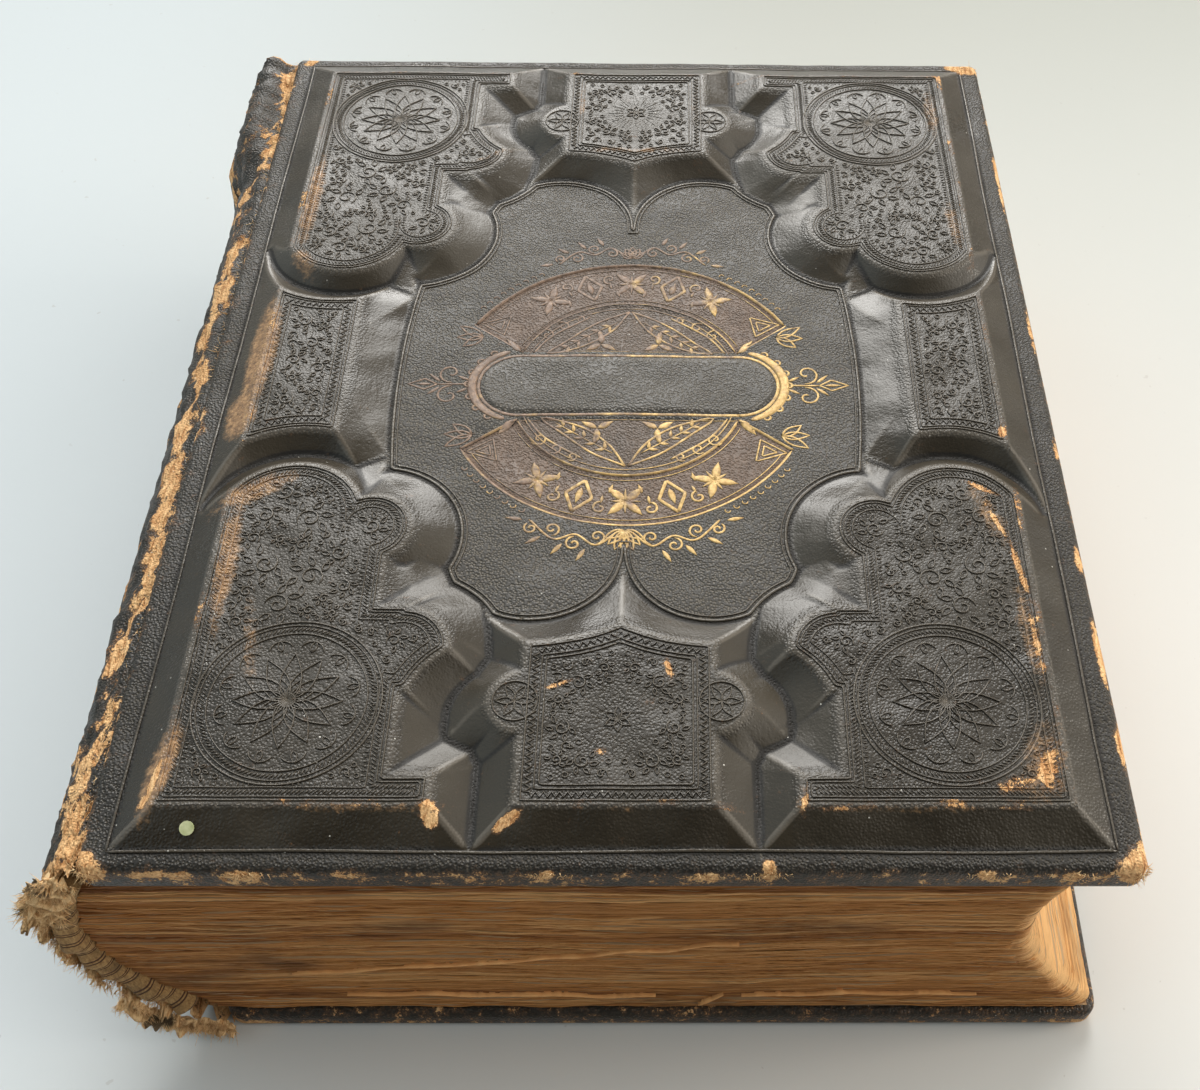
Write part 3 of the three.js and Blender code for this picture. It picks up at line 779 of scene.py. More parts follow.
def shell(height, thickness, step, corner=3.0):
    """Points, faces and plan positions of a cover's leather, its rim at 0 and inside below.
    The outer skin, the edge and the turned-in leather are one closed surface."""
    xs, ys = spread(HALF_X, step), spread(HALF_Y, step)
    x, y = np.meshgrid(xs, ys)
    top = height(x, y)
    depth = np.clip(EDGE_ROUND - inset_of(x, y), 0, EDGE_ROUND)
    top = top - EDGE_ROUND + np.sqrt(EDGE_ROUND**2 - depth**2)
    px, py = round_plan(x, y, corner)
    rows, cols = x.shape
    outer = np.stack([px, py, top], -1).reshape(-1, 3)
    faces = quads(rows, cols)
    ring = border(np.arange(rows * cols).reshape(rows, cols))
    low = -thickness + INSIDE
    profile = [
        (0, low + 2.2), (0.25, low + 0.9), (0.9, low + 0.15), (2.2, low), (8, low),
        (TURN_IN, low), (TURN_IN, low + 0.6), (3.0, low + 0.6), (SKIN, low + 1.6),
        (SKIN, -EDGE_ROUND - 0.6),
    ]
    loops = []
    for inset, z in profile:
        scale = ((HALF_X - inset) / HALF_X, (HALF_Y - inset) / HALF_Y)
        flat = outer[ring, :2] * scale
        loops.append(np.column_stack([flat, np.full(len(ring), z)]))
    start = len(outer)
    count = len(ring)
    rows_of = [ring] + [start + i * count + np.arange(count) for i in range(len(loops))]
    for a, b in zip(rows_of[:-1], rows_of[1:]):
        faces += np.stack([a, b, np.roll(b, -1), np.roll(a, -1)], -1).tolist()
    under = coarse_under(px, py, top)
    base = start + len(loops) * count
    under_rows, under_cols = under.shape[:2]
    index = base + np.arange(under_rows * under_cols).reshape(under_rows, under_cols)
    faces += (np.array(quads(under_rows, under_cols)) + base).tolist()
    faces += stitched(rows_of[-1], border(index))
    points = np.concatenate([outer, *loops, under.reshape(-1, 3)])
    return points, faces, x, y


def coarse_under(px, py, top):
    """The skin's hidden underside, at every few points, below the lowest point around it."""
    rows, cols = top.shape
    pick = np.ix_(range(0, rows, UNDER_STEP), range(0, cols, UNDER_STEP))
    padded = np.pad(top, UNDER_STEP, mode="edge")
    least = top.copy()
    for dy in range(0, 2 * UNDER_STEP + 1, 2):
        for dx in range(0, 2 * UNDER_STEP + 1, 2):
            least = np.minimum(least, padded[dy : dy + rows, dx : dx + cols])
    z = np.maximum(least[pick] - SKIN, -EDGE_ROUND - 0.6)
    scale = ((HALF_X - SKIN) / HALF_X, (HALF_Y - SKIN) / HALF_Y)
    return np.stack([px[pick] * scale[0], py[pick] * scale[1], z], -1)


def stitched(fine, coarse):
    """Faces between a fine ring and a ring that has every UNDER_STEP-th of its points."""
    faces = []
    half = UNDER_STEP // 2
    for i in range(len(coarse)):
        here, after = int(coarse[i]), int(coarse[(i + 1) % len(coarse)])
        run = [int(fine[(i * UNDER_STEP + k) % len(fine)]) for k in range(UNDER_STEP + 1)]
        faces += [[here, run[k], run[k + 1]] for k in range(half)]
        faces.append([here, run[half], after])
        faces += [[after, run[k], run[k + 1]] for k in range(half, UNDER_STEP)]
    return faces


def padded_values(values, count):
    """Values per point of the outer skin, with the last of them repeated for the rest."""
    return np.concatenate([values.ravel(), np.full(count - values.size, values.ravel()[-1])])


def on_front(points):
    """Points from the front cover's centre and rim, in the book's frame."""
    return np.asarray(points) + (FRONT_X, 0, FRONT_TOP)


def form_of(x, y):
    """How much the surface stands out (up to 1) or lies in (down to -1) from its surroundings."""
    around = [relief(x + dx, y + dy) for dx, dy in ((1.7, 0), (-1.7, 0), (0, 1.7), (0, -1.7))]
    return np.clip((relief(x, y) - sum(around) / 4) / 0.22, -1, 1)


def add_front_cover():
    """The front cover's leather, with what its material needs to know at each point."""
    points, faces, x, y = shell(relief, FRONT_TOP - front_low[2] + INSIDE, FRONT_STEP)
    share = slope_share(x, y)
    outer = inside_edge(x, y)
    sloped = np.maximum(
        smooth(share, 0.05, 0.3) * (1 - smooth(share, 0.93, 1.0)) * (outer > 0),
        smooth(outer, 0.02, 0.15) * (1 - smooth(outer, 0.85, 1.0)) * 0.8,
    )
    tops = (share < 0.3) & (outer >= 1)
    plain = label_distance(x, y) < 0.5
    burnish = np.maximum(sloped, np.where(tops, 0.62, 0.0))
    burnish = np.where(plain, 0.25, burnish)
    ground = np.clip(0.5 - band_distance(x, y), 0, 1)
    roundel = (disc(x, y, (0, ORNAMENT_Y), BAND_INNER) < 0) & (label_distance(x, y) > 1.5)
    ground = np.maximum(ground, 0.515 * roundel)
    # The dust attribute is raised on the label and the low field: dust with a painted sheen.
    attributes = {
        "wear": front_wear(x, y), "burnish": burnish, "ground": ground,
        "rub": worn_spots(x, y, RUBBED), "form": form_of(x, y),
        "dust": np.select([plain, share > 0.96], [1.5, 1.75], 1.0),
    }
    attributes = {k: padded_values(v, len(points)) for k, v in attributes.items()}
    attributes["wear"][x.size :] = 0.33
    # Almost no dust on the sides and inside, which leaves the sides dark as painted shade.
    attributes["dust"][x.size :] = 0.05
    cover = build(
        "front_leather", on_front(points), faces, LEATHER, "front_cover", "cover_leather",
        **attributes,
    )
    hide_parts("front_cover_leather")


add_front_cover()


# ---- The text block, between the curved lines of the spine and the fore-edge ----

BLOCK_LOW, BLOCK_HIGH = 9.0, 93.0
LEAF_END = 157.5  # half the leaves' height
LEAVES_SHOWN = 11  # groups of leaves that show in each gathering
LEAF_PROFILE = (  # share of the leaf's thickness, how far it stands out, how dark the painted shade between leaves is
    (0.06, 0.0, 0.0), (0.86, -0.03, 0.0), (0.97, -0.5, 1.0)
)
OVERLAP = 0.12  # neighbouring gatherings lie this far into each other
FOLD = 0.8  # how far the fold of each gathering stands out at the spine


def bow(t):
    """0 at both ends and 1 in the middle."""
    return 1 - (2 * t - 1) ** 2


def spine_x(t):
    return -124 - 13 * t - 15 * bow(t)


def fore_x(t):
    return 122 - 19 * t - 14 * bow(t) + 2.2 * (1 - t) ** 4 + 1.2 * bow(np.minimum(2.2 * t, 1))


def behind_folds(t, out):
    """A point at a distance out from the line of the folds, in X and Z."""
    lean = (-13 + 60 * (2 * t - 1)) / (BLOCK_HIGH - BLOCK_LOW)
    length = np.hypot(1, lean)
    z = BLOCK_LOW + (BLOCK_HIGH - BLOCK_LOW) * t
    return spine_x(t) - out / length, z + out * lean / length


def block_outline():
    """The way round a leaf: for each point its side (0 tail, 1 fore-edge, 2 head, 3 spine) and
    its place along that side from 0 to 1."""
    counts = (130, 110, 60, 24)
    side = np.repeat(np.arange(4), counts)
    along = np.concatenate([(np.arange(n) + 0.5) / n for n in counts])
    along = np.where(side < 3, 0.5 - 0.5 * np.cos(np.pi * along), along)
    return side, along


def rounded(x, y, right, corner):
    """A leaf's outline with its two corners at the fore-edge rounded off, and how far into the
    corner each point lies, from 0 to twice its radius."""
    cut_x = np.clip(corner - (right - x), 0, corner)
    cut_y = np.clip(corner - (LEAF_END - np.abs(y)), 0, corner)
    reach = np.hypot(cut_x, cut_y)
    pull = np.where(reach > corner, corner / np.maximum(reach, 1e-6), 1)
    x = np.where(reach > corner, right - corner + cut_x * pull, x)
    y = np.where(reach > corner, np.sign(y) * (LEAF_END - corner + cut_y * pull), y)
    return x, y, cut_x + cut_y


def add_gathering(number):
    """One gathering as a stack of slightly uneven leaves, with painted shade between them."""
    node = f"gathering_{number:02d}"
    low, high = box(node)
    rng = np.random.default_rng(100 + number)
    side, along = block_outline()
    tail, fore, head, back = (side == k for k in range(4))
    x_share = np.select([tail, fore, head, back], [along, 1.0, 1 - along, 0.0])
    y_share = np.select([tail, fore, head, back], [0.0, along, 1.0, 1 - along])
    corner = 5.0 + 2.0 * rng.random()
    rows, tones, gaps = [], [], []
    bottom, top = low[2] - OVERLAP, high[2] + OVERLAP
    leaf = (top - bottom) / LEAVES_SHOWN
    gathering_tone = rng.normal(0, 0.06)
    shift = rng.normal(0, 0.4, 3)
    for j in range(LEAVES_SHOWN):
        z0 = bottom + j * leaf
        offsets = np.clip(rng.normal(-0.1, 0.14, 3) + shift * 0.5, -0.9, 0.35)
        tone = 0.24 + gathering_tone + rng.normal(0, 0.09)
        wave = 0.22 * ripple(x_share * 250, y_share * 315, 45, rng.integers(10**6))
        fray = 0.05 * ripple(x_share * 250, y_share * 315, 5, rng.integers(10**6))
        for part, extra, gap in LEAF_PROFILE:
            z = np.full(side.shape, z0 + leaf * part)
            t = (z - BLOCK_LOW) / (BLOCK_HIGH - BLOCK_LOW)
            offset = offsets[np.minimum(side, 2)] + extra + wave + fray
            fold = 4 * FOLD * (z - low[2]) * (high[2] - z) / (high[2] - low[2]) ** 2
            left = spine_x(t) - np.clip(fold, 0, None)
            right = fore_x(t)
            x = left + (right - left) * x_share
            y = -LEAF_END + 2 * LEAF_END * y_share
            x = x + np.where(fore, offset, 0)
            y = y + np.where(tail, -offset, 0) + np.where(head, offset, 0)
            x, y, cut = rounded(x, y, right, corner)
            arch = np.sin(np.pi * np.clip(t, 0, 1))
            z = z + arch * (0.9 * ripple(x, y, 190, 31) + 0.07 * ripple(x + 7 * z, y, 60, 32))
            rows.append(np.column_stack([x, y, z]))
            # Tone per point: lighter at the rounded corners, partly rubbed and partly a painted
            # highlight; a painted highlight over the whole fore-edge; painted shade near the spine.
            worn = 0.30 * np.exp(-((cut - corner * 2) ** 2) / 40) * (cut > 0)
            spine_shade = -0.12 * np.exp(-(x - left) / 25)
            tones.append(tone + worn + np.where(fore, 0.26, 0.0) + spine_shade)
            gaps.append(np.full(side.shape, gap * rng.uniform(0.15, 0.8)))
    count = len(side)
    faces = quads(len(rows), count, wrap=True)
    start = (len(rows) - 1) * count
    faces += [list(range(count))[::-1], list(range(start, start + count))]
    piece = build(
        f"gathering_{number:02d}_leaves", np.concatenate(rows), faces, PAGE_EDGE, "text_block",
        "page_paper", tone=np.concatenate(tones), gap=np.concatenate(gaps),
    )
    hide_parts(node)


for number in range(1, 17):
    add_gathering(number)


# ---- Strips: closed lofts of one cross-section after another ----

LOWEST = 0.05  # torn pieces stay this far above the floor


def loft(name, rings, material, body, slot, **attributes):
    """A closed piece from rings of points: each ring goes along one face of a strip and back
    along the other."""
    rings = np.asarray(rings, float)
    rings[..., 2] = np.maximum(rings[..., 2], LOWEST)
    rows, count = rings.shape[:2]
    faces = quads(rows, count, wrap=True)
    half = count // 2
    for start in (0, (rows - 1) * count):
        for i in range(half - 1):
            a, b = start + i, start + count - 1 - i
            faces.append([a, a + 1, b - 1, b])
    return build(name, rings.reshape(-1, 3), faces, material, body, slot, **attributes)


SLIVERS = [  # ends of the strip in X and Z, its width
    ((-100, 35), (20, 56), 1.3), ((-88, 20), (-2, 18.5), 1.1), ((10, 12), (17, 21), 3.0),
    ((22, 19.5), (88, 21), 1.5),
]


def add_sliver(number, start, end, width):
    """A leaf's torn edge standing out of the tail end of the pages."""
    share = np.linspace(0, 1, 120)
    x = start[0] + (end[0] - start[0]) * share
    z = start[1] + (end[1] - start[1]) * share + 0.5 * ripple(x, 0 * x, 30, 500 + number)
    taper = np.sqrt(np.sin(np.pi * share) + 0.02)
    half = width * (0.32 + 0.22 * ripple(x, z, 7, 510 + number)) * taper
    half = np.maximum(half + 0.16 * ripple(x, z, 1.6, 520 + number), 0.12)
    profile = ((-157, -1), (-158.2, -1), (-158.5, -0.5), (-158.5, 0.6), (-158.3, 1), (-157, 1))
    rings = [[(a, y, b + c * side) for y, side in profile] for a, b, c in zip(x, z, half)]
    loft(f"torn_leaf_edge_{number}", rings, TORN_PAPER, "text_block", "page_paper")


for number, sliver in enumerate(SLIVERS, 1):
    add_sliver(number, *sliver)


def resampled(points, count):
    """The same line with evenly spaced points."""
    points = np.asarray(points, float)
    steps = np.r_[0, np.cumsum(np.hypot(*np.diff(points, axis=0).T))]
    at = np.linspace(0, steps[-1], count)
    return np.column_stack([np.interp(at, steps, points[:, k]) for k in (0, 1)])


def curved(points, count):
    """A smooth line through a few points."""
    points = np.asarray(points, float)
    ends = [2 * points[0] - points[1], *points, 2 * points[-1] - points[-2]]
    line = []
    for a, b, c, d in zip(ends, ends[1:], ends[2:], ends[3:]):
        for t in np.linspace(0, 1, 24, endpoint=False):
            line.append(
                0.5 * (2 * b + (c - a) * t + (2 * a - 5 * b + 4 * c - d) * t**2
                       + (3 * b - a - 3 * c + d) * t**3)
            )
    return resampled([*line, points[-1]], count)


def tangents_of(line):
    """Unit vectors along a line."""
    tangent = np.gradient(line, axis=0)
    return tangent / np.hypot(*tangent.T)[:, None]


def normals_of(line):
    """Unit vectors to the right of a line."""
    tx, ty = tangents_of(line).T
    return np.column_stack([ty, -tx])


def leather_strip(
    name, line, thick, head_tear, tail_tear, seed, wear, body, rough=0.25, swell=None
):
    """Leather that follows a line in X and Z over the book's whole height, torn at both ends.
    The line's left-hand side is its outside."""
    stations = 150
    normal = -normals_of(line)
    count = len(line)
    share = np.linspace(0, 1, count)
    length = share * np.hypot(*np.diff(line, axis=0).T).sum()
    rings, wears = [], []
    waves = [
        ripple(length, level, size, seed + k)
        for k, (level, size) in enumerate(((0, 18), (0, 4), (9, 16), (9, 3.5)))
    ]
    head = head_tear * (0.5 + 0.35 * waves[0] + 0.2 * waves[1])
    tail = tail_tear * (0.5 + 0.35 * waves[2] + 0.25 * waves[3])
    ends = np.sin(np.linspace(-np.pi / 2, np.pi / 2, stations))
    for station in ends:
        reach = HALF_Y - np.clip(head if station > 0 else tail, 0, None)
        y = station * reach
        lump = rough * (ripple(length, y, 11, seed + 4) + 0.5 * ripple(length, y, 3.2, seed + 5))
        from_end = reach - np.abs(y)
        thin = 0.35 + 0.65 * smooth(from_end, 0, 3)
        out = swell(share, y) if swell else 0
        outer = line + normal * (thick / 2 * thin + lump + out)[:, None]
        inner = line + normal * (out - thick / 2 * thin)[:, None]
        ring = np.concatenate([outer, inner[::-1]])
        ys = np.concatenate([y, y[::-1]])
        rings.append(np.column_stack([ring[:, 0], ys, ring[:, 1]]))
        worn = wear(share, y, length)
        fresh = (1.05 if station < 0 else 0.8) * np.exp(-from_end / (3.5 if station < 0 else 1.6))
        worn = np.maximum(worn, fresh)
        wears.append(np.concatenate([worn, np.maximum(worn[::-1], 0.75)]))
    dust = np.full(np.shape(wears), 0.3)
    return loft(
        name, rings, LEATHER, body, "cover_leather", wear=np.array(wears), dust=dust
    )


SPINE_MIDDLE = 8.3  # from the folds out to the middle of the spine's leather
BAND_MIDDLE = 3.8
SPINE_FROM, SPINE_TO = 0.1, 0.885


def spine_line(out, start, end, count):
    """A line along the spine at a distance out from the folds, between two shares of it."""
    return resampled([np.array(behind_folds(t, out)) for t in np.linspace(start, end, 80)], count)


def spine_wear(share, y, length):
    """Rubbed in the middle, and bare along both joints."""
    rubbed = 0.30 * np.exp(-((share - 0.55) / 0.3) ** 2) * (1 + 0.7 * ripple(length, y, 30, 51))
    joints = 0.75 * np.exp(-share / 0.07) + 0.9 * np.exp(-(1 - share) / 0.09)
    return np.maximum(rubbed, joints * (1 + 0.3 * ripple(length, y, 14, 52)))


def joint_wear(share, y, length):
    """Bare in a ragged strip that runs the whole height, dark on both sides of it."""
    level = 0 * share + y
    centre = 0.745 + 0.05 * ripple(level, 0, 40, 55) + 0.13 * smooth(level, 84, 112)
    half = 0.095 + 0.05 * ripple(level, 0, 16, 56) + 0.14 * (1 - smooth(level, -150, -110))
    tan = 0.12 + 0.66 * smooth(half - np.abs(share - centre), -0.05, 0.05)
    return tan + 0.20 * ripple(length, y * 0.45, 11, 53) + 0.16 * ripple(length, y * 0.7, 3.6, 54)


def head_swell(share, y):
    """Near the head the loose leather of the spine stands out from the joint."""
    return 6.0 * smooth(y, 94, 118) * (1 - smooth(share, 0.62, 0.9))


def add_spine():
    """The spine's leather and the two joints, which curve round from the spine to the covers."""
    line = spine_line(SPINE_MIDDLE, SPINE_FROM, SPINE_TO, 46)
    spine = leather_strip(
        "spine_leather_worn", line, 2.4, 4, 7, 61, spine_wear, "text_block",
        swell=lambda share, y: head_swell(1 - share, y) * smooth(share, 0.72, 1.0),
    )
    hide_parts("spine_leather")

    start = line[-1]
    edge = FRONT_X - HALF_X
    way = curved(
        [start + (0.1, -0.5), (edge - 7.2, FRONT_TOP - 6), (edge + 1.8, FRONT_TOP - 1.9)], 20
    )
    front = leather_strip(
        "front_joint_worn", way, 1.6, 5, 8, 71, joint_wear, None, 0.45, head_swell
    )
    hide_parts("front_joint_leather")
    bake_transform(front)

    start = line[0]
    edge = -HALF_X
    way = curved([(edge + 1.5, 1.9), (edge - 9, 3), start + (0.3, 0.3)], 16)
    back = leather_strip("back_joint_worn", way, 1.5, 4, 8, 81, joint_wear, None, 0.35)
    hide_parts("back_joint_leather")
    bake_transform(back)


add_spine()


def add_flap(name, share, height, y, size, lean, seed):
    """A torn piece of leather that curls away from the spine: its root is at a share of the
    spine's line, and it runs out towards the tail."""
    rng = np.random.default_rng(seed)
    rows, cols = 22, 26
    s, t = np.meshgrid(np.linspace(-1, 1, cols), np.linspace(0, 1, rows))
    length, width = size
    point = np.array(behind_folds(share, height))
    ahead = np.array(behind_folds(share + 0.01, height)) - point
    ahead /= np.hypot(*ahead)
    out = np.array([-ahead[1], ahead[0]])
    ragged = 1 - 0.28 * (ripple(s * width, 0, 5, seed) + 0.6 * ripple(s * width, 3, 2, seed + 1))
    reach = t * length * np.clip(ragged, 0.35, 1.3) * (1 - 0.35 * s * s)
    half = width / 2 * (1 - 0.45 * t**2) * (1 + 0.12 * ripple(t * length, s, 4, seed + 2))
    rise = lean * t**1.7 + 0.5 * ripple(s * width, t * length, 6, seed + 3) * t
    rise = rise + 1.4 * s * s * t * rng.uniform(-1, 1)
    along = s * half
    thick = 0.75 * (1 - 0.6 * t)
    sheets = []
    for sign in (1, -1):
        x = point[0] + ahead[0] * along + out[0] * (rise + sign * thick)
        z = point[1] + ahead[1] * along + out[1] * (rise + sign * thick)
        sheets.append(np.stack([x, y - reach, z], -1))
    rings = np.concatenate([sheets[0], sheets[1][:, ::-1]], 1)
    return loft(name, rings, TORN, "text_block", "cover_leather")


FLAPS = [
    # share of the spine, out from the folds, y, (length, width), lean, seed
    (0.80, 9.6, -153, (9.0, 11), 1.0, 302),
    (0.67, 9.2, -156, (4.4, 11), 0.6, 303),
    (0.51, 9.2, -157, (3.2, 13), 0.4, 304),
    (0.37, 9.0, -156, (4.2, 12), 0.7, 305),
    (0.23, 8.6, -154, (7.4, 12), 1.4, 306),
    (0.13, 7.6, -154, (8.0, 9), 0.4, 307),
]
for number, (share, height, y, size, lean, seed) in enumerate(FLAPS, 1):
    add_flap(f"torn_flap_{number}", share, height, y, size, lean, seed)


def add_scrap(name, body, y, seed, widths, path):
    """A frayed scrap of leather that hangs down in front of the band, facing the tail."""
    line = curved(np.array(path), 60)
    normal = normals_of(line)
    across = np.linspace(-1, 1, 16)
    t = np.linspace(0, 1, len(line))
    half = np.interp(t, np.linspace(0, 1, len(widths)), widths) / 2
    rings = []
    for i, point in enumerate(line):
        ragged = 1 + 0.22 * ripple(t[i] * 30, across * 0.5, 5, seed)
        ragged = ragged + 0.18 * ripple(t[i] * 60, across * 0.5, 3, seed + 1)
        reach = across * half[i] * ragged * math.sqrt(min(1, 0.1 + 8 * t[i] * (1 - t[i])))
        lift = 0.9 * ripple(t[i] * 40, across * 4, 7, seed + 2) - 1.3 * across**2
        thick = 0.8 * (1 - 0.7 * across**4)
        spot = point + np.outer(reach, normal[i])
        outer, inner = (
            np.column_stack([spot[:, 0], y - lift - sign * thick / 2, spot[:, 1]])
            for sign in (1, -1)
        )
        rings.append(np.concatenate([outer, inner[::-1]]))
    return loft(name, rings, TORN, body, "cover_leather")


SCRAPS = [
    # the body it hangs from, y, seed, widths along it, way in X and Z
    ("front_cover", -161.2, 351, (5, 8, 7, 3),
     [(-140, 101), (-144, 94), (-147.5, 86.5), (-150, 78)]),
    ("front_cover", -160.8, 352, (3, 5, 5, 2),
     [(-143, 99), (-149, 92), (-152, 85), (-153.5, 78)]),
    ("text_block", -162.2, 353, (2, 5, 5.5, 3),
     [(-149.5, 24), (-144, 15), (-136, 8.6), (-124, 5)]),
    ("text_block", -163.0, 354, (2, 3.5, 4, 3),
     [(-145, 15), (-140, 10.5), (-133, 7), (-122, 4.4)]),
]
for number, scrap in enumerate(SCRAPS, 1):
    add_scrap(f"torn_scrap_{number}", *scrap)


STRIPES_REPEAT, STRIPE_PAIR = 4.3, (0.8, 1.75)  # a pair of stripes in each repeat


def add_band(name, sign):
    """A head or tail band: striped cloth rolled over a cord, along the back of the block."""
    line = spine_line(BAND_MIDDLE, 0.08, 0.99, 380)
    normal = normals_of(line)
    length = np.linspace(0, np.hypot(*np.diff(line, axis=0).T).sum(), len(line))
    around = np.linspace(0, TAU, 22, endpoint=False)
    rings, stripes = [], []
    for i, (point, out) in enumerate(zip(line, normal)):
        phase = (length[i] + 0.5 * ripple(length[i], 0, 25, 93)) % STRIPES_REPEAT
        stripe = max(math.exp(-(((phase - c) / 0.22) ** 2)) for c in STRIPE_PAIR)
        wobble = 0.18 * ripple(length[i], np.cos(around) * 3, 9, 91)
        end = min(length[i], length[-1] - length[i])
        ridge = (1 - 0.06 * stripe) * math.sqrt(min(1, 0.15 + end / 2))
        across = 3.35 * np.sign(np.cos(around)) * np.abs(np.cos(around)) ** 0.6 * ridge + wobble
        deep = 3.9 * np.sign(np.sin(around)) * np.abs(np.sin(around)) ** 0.8 * ridge
        x = point[0] + out[0] * across
        z = point[1] + out[1] * across
        y = sign * (156.4 + deep - 0.22 * across + 0.5 * ripple(length[i], 0, 14, 92))
        rings.append(np.column_stack([x, y, z]))
        stripes.append(np.full(len(around), stripe))
    band = loft(name + "_cloth", rings, STRIPED, "text_block", "striped_band_cloth",
                stripe=np.array(stripes))
    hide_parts(name)


add_band("head_band", 1)
add_band("tail_band", -1)


# ---- The back cover ----


def back_relief(x, y):
    """Flat, with a blind double line pressed in around it."""
    inset = inset_of(x, y)
    lines = sum(np.exp(-(((inset - d) / 0.8) ** 2)) for d in (12, 16.5))
    return -0.35 * lines - 0.06 * np.clip(1.5 + ripple(x, y, 50, 5), 0, None)


def add_back_cover():
    """The back cover's leather: the shell is turned over, so that its outside faces down."""
    thickness = back_high[2] - back_low[2] + INSIDE
    points, faces, x, y = shell(back_relief, thickness, BACK_STEP, 5.0)
    corner = np.hypot(HALF_X - np.abs(x), HALF_Y - np.abs(y))
    wear = 0.46 * np.exp(-inset_of(x, y) / 1.2) + 0.8 * np.exp(-corner / 6)
    wear = np.maximum(wear, 0.16 + 0.12 * ripple(x, y, 45, 15))
    wears = padded_values(wear, len(points))
    wears[x.size :] = 0.31
    burnish = padded_values(0.25 + 0 * x, len(points))
    cover = build(
        "back_leather", points * (1, -1, -1), faces, LEATHER, "back_cover", "cover_leather",
        wear=wears, burnish=burnish,
    )
    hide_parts("back_cover_leather")


add_back_cover()


# ---- Loose fibres along the torn and worn edges ----


FIBRE_RINGS = 5


def add_fibres(name, roots, ways, length, width, body, seed):
    """Short curling fibres, each a tapering three-sided tube."""
    rng = np.random.default_rng(seed)
    points, faces = [], []
    for root, way in zip(roots, ways):
        way = np.array(way) + rng.normal(0, 0.45, 3)
        way /= np.linalg.norm(way)
        curl = rng.normal(0, 0.75, 3)
        reach = length * rng.uniform(0.3, 1.2)
        thick = width * rng.uniform(0.5, 1.3)
        side = np.cross(way, rng.normal(0, 1, 3))
        side /= np.linalg.norm(side)
        other = np.cross(way, side)
        base = len(points)
        for s in np.linspace(0, 1, FIBRE_RINGS):
            middle = np.array(root) + way * reach * s + curl * reach * 0.35 * s * s
            size = thick * (1 - 0.85 * s)
            for angle in (0, TAU / 3, TAU * 2 / 3):
                spot = middle + size * (side * math.cos(angle) + other * math.sin(angle))
                points.append((spot[0], spot[1], max(spot[2], LOWEST)))
        faces += (np.array(quads(FIBRE_RINGS, 3, wrap=True)) + base).tolist()
        last = len(points) - 3
        faces += [[base, base + 1, base + 2], [last, last + 2, last + 1]]
    build(name, points, faces, TORN, body, "cover_leather")


def spine_roots(count, seed, low, high, y_low, y_high, out):
    """Places on the spine's outside, and the way out from there."""
    rng = np.random.default_rng(seed)
    roots, ways = [], []
    for share, y in zip(rng.uniform(low, high, count), rng.uniform(y_low, y_high, count)):
        near, far = (np.array(behind_folds(share, d)) for d in (out, out + 1))
        way = far - near
        roots.append((near[0], y, near[1]))
        ways.append((way[0] * 0.45, -1.0 if y < 0 else 1.0, way[1] * 0.45))
    return roots, ways


def add_tail_fibres():
    """Fibres at the torn tail of the spine and on the scraps that hang there."""
    roots, ways = [], []
    for place in (
        (420, 401, 0.08, 0.36, -161, -156, 9.0),
        (300, 411, 0.72, 0.86, -161, -154, 9.2),
        (300, 412, 0.36, 0.72, -160.5, -158, 8.2),
    ):
        more_roots, more_ways = spine_roots(*place)
        roots += more_roots
        ways += more_ways
    rng = np.random.default_rng(413)
    on_body = {"text_block": (roots, ways), "front_cover": ([], [])}
    for body, y, _, widths, path in SCRAPS:
        line = curved(np.array(path), 60)
        for spot, out in zip(np.repeat(line, 7, 0), np.repeat(normals_of(line), 7, 0)):
            across = rng.uniform(-0.5, 0.5) * widths[1]
            place = spot + out * across
            on_body[body][0].append((place[0], y, max(place[1], 1.5)))
            side = out * np.sign(across) * 0.7
            on_body[body][1].append((side[0], -0.5, side[1] - 0.3))
    add_fibres("tail_fibres", *on_body["text_block"], 2.6, 0.17, "text_block", 402)
    add_fibres("scrap_fibres", *on_body["front_cover"], 2.6, 0.17, "front_cover", 414)


def add_head_fibres():
    """A few fibres at the head of the spine."""
    roots, ways = spine_roots(200, 403, 0.1, 0.9, 156, 160, 8.8)
    add_fibres("head_fibres", roots, ways, 2.2, 0.16, "text_block", 404)


def add_cover_fibres():
    """Fibres along the front cover's spine edge, at its corners and on its chipped tail edge."""
    rng = np.random.default_rng(407)
    edge = FRONT_X - HALF_X
    roots, ways = [], []
    for y in rng.uniform(-HALF_Y, HALF_Y, 520):
        roots.append((edge - rng.uniform(-0.6, 0.8), y, FRONT_TOP - rng.uniform(1.2, 3.0)))
        ways.append((-0.9, rng.normal(0, 0.9), 0.25))
    add_fibres("joint_fibres", roots, ways, 2.0, 0.13, "front_cover", 408)
    roots, ways = [], []
    fore = FRONT_X + HALF_X
    for cx, cy, count in (
        (fore, -HALF_Y, 150), (edge, -HALF_Y, 170), (fore, HALF_Y, 40), (edge, HALF_Y, 40)
    ):
        for angle in rng.uniform(0, TAU, count):
            near = np.array([math.cos(angle), math.sin(angle)])
            spot = np.array([cx, cy]) - 2.2 * np.sign([cx - FRONT_X, cy]) + near * 2.2
            roots.append((*spot, FRONT_TOP - rng.uniform(0.8, 6.0)))
            ways.append((*(near * 0.8), rng.normal(0, 0.5)))
    for x, count in ((-97, 60), (25, 40), (11, 25), (76, 40), (-27, 30), (98, 40)):
        for _ in range(count):
            roots.append((x + rng.normal(0, 3.0), -159.9, FRONT_TOP - rng.uniform(0.8, 3.2)))
            ways.append((rng.normal(0, 0.8), -0.7, rng.normal(0, 0.4)))
    add_fibres("corner_fibres", roots, ways, 1.5, 0.15, "front_cover", 409)


add_tail_fibres()
add_head_fibres()
add_cover_fibres()


# ---- Drawing on the cover: every line is a thin bead laid over the relief ----


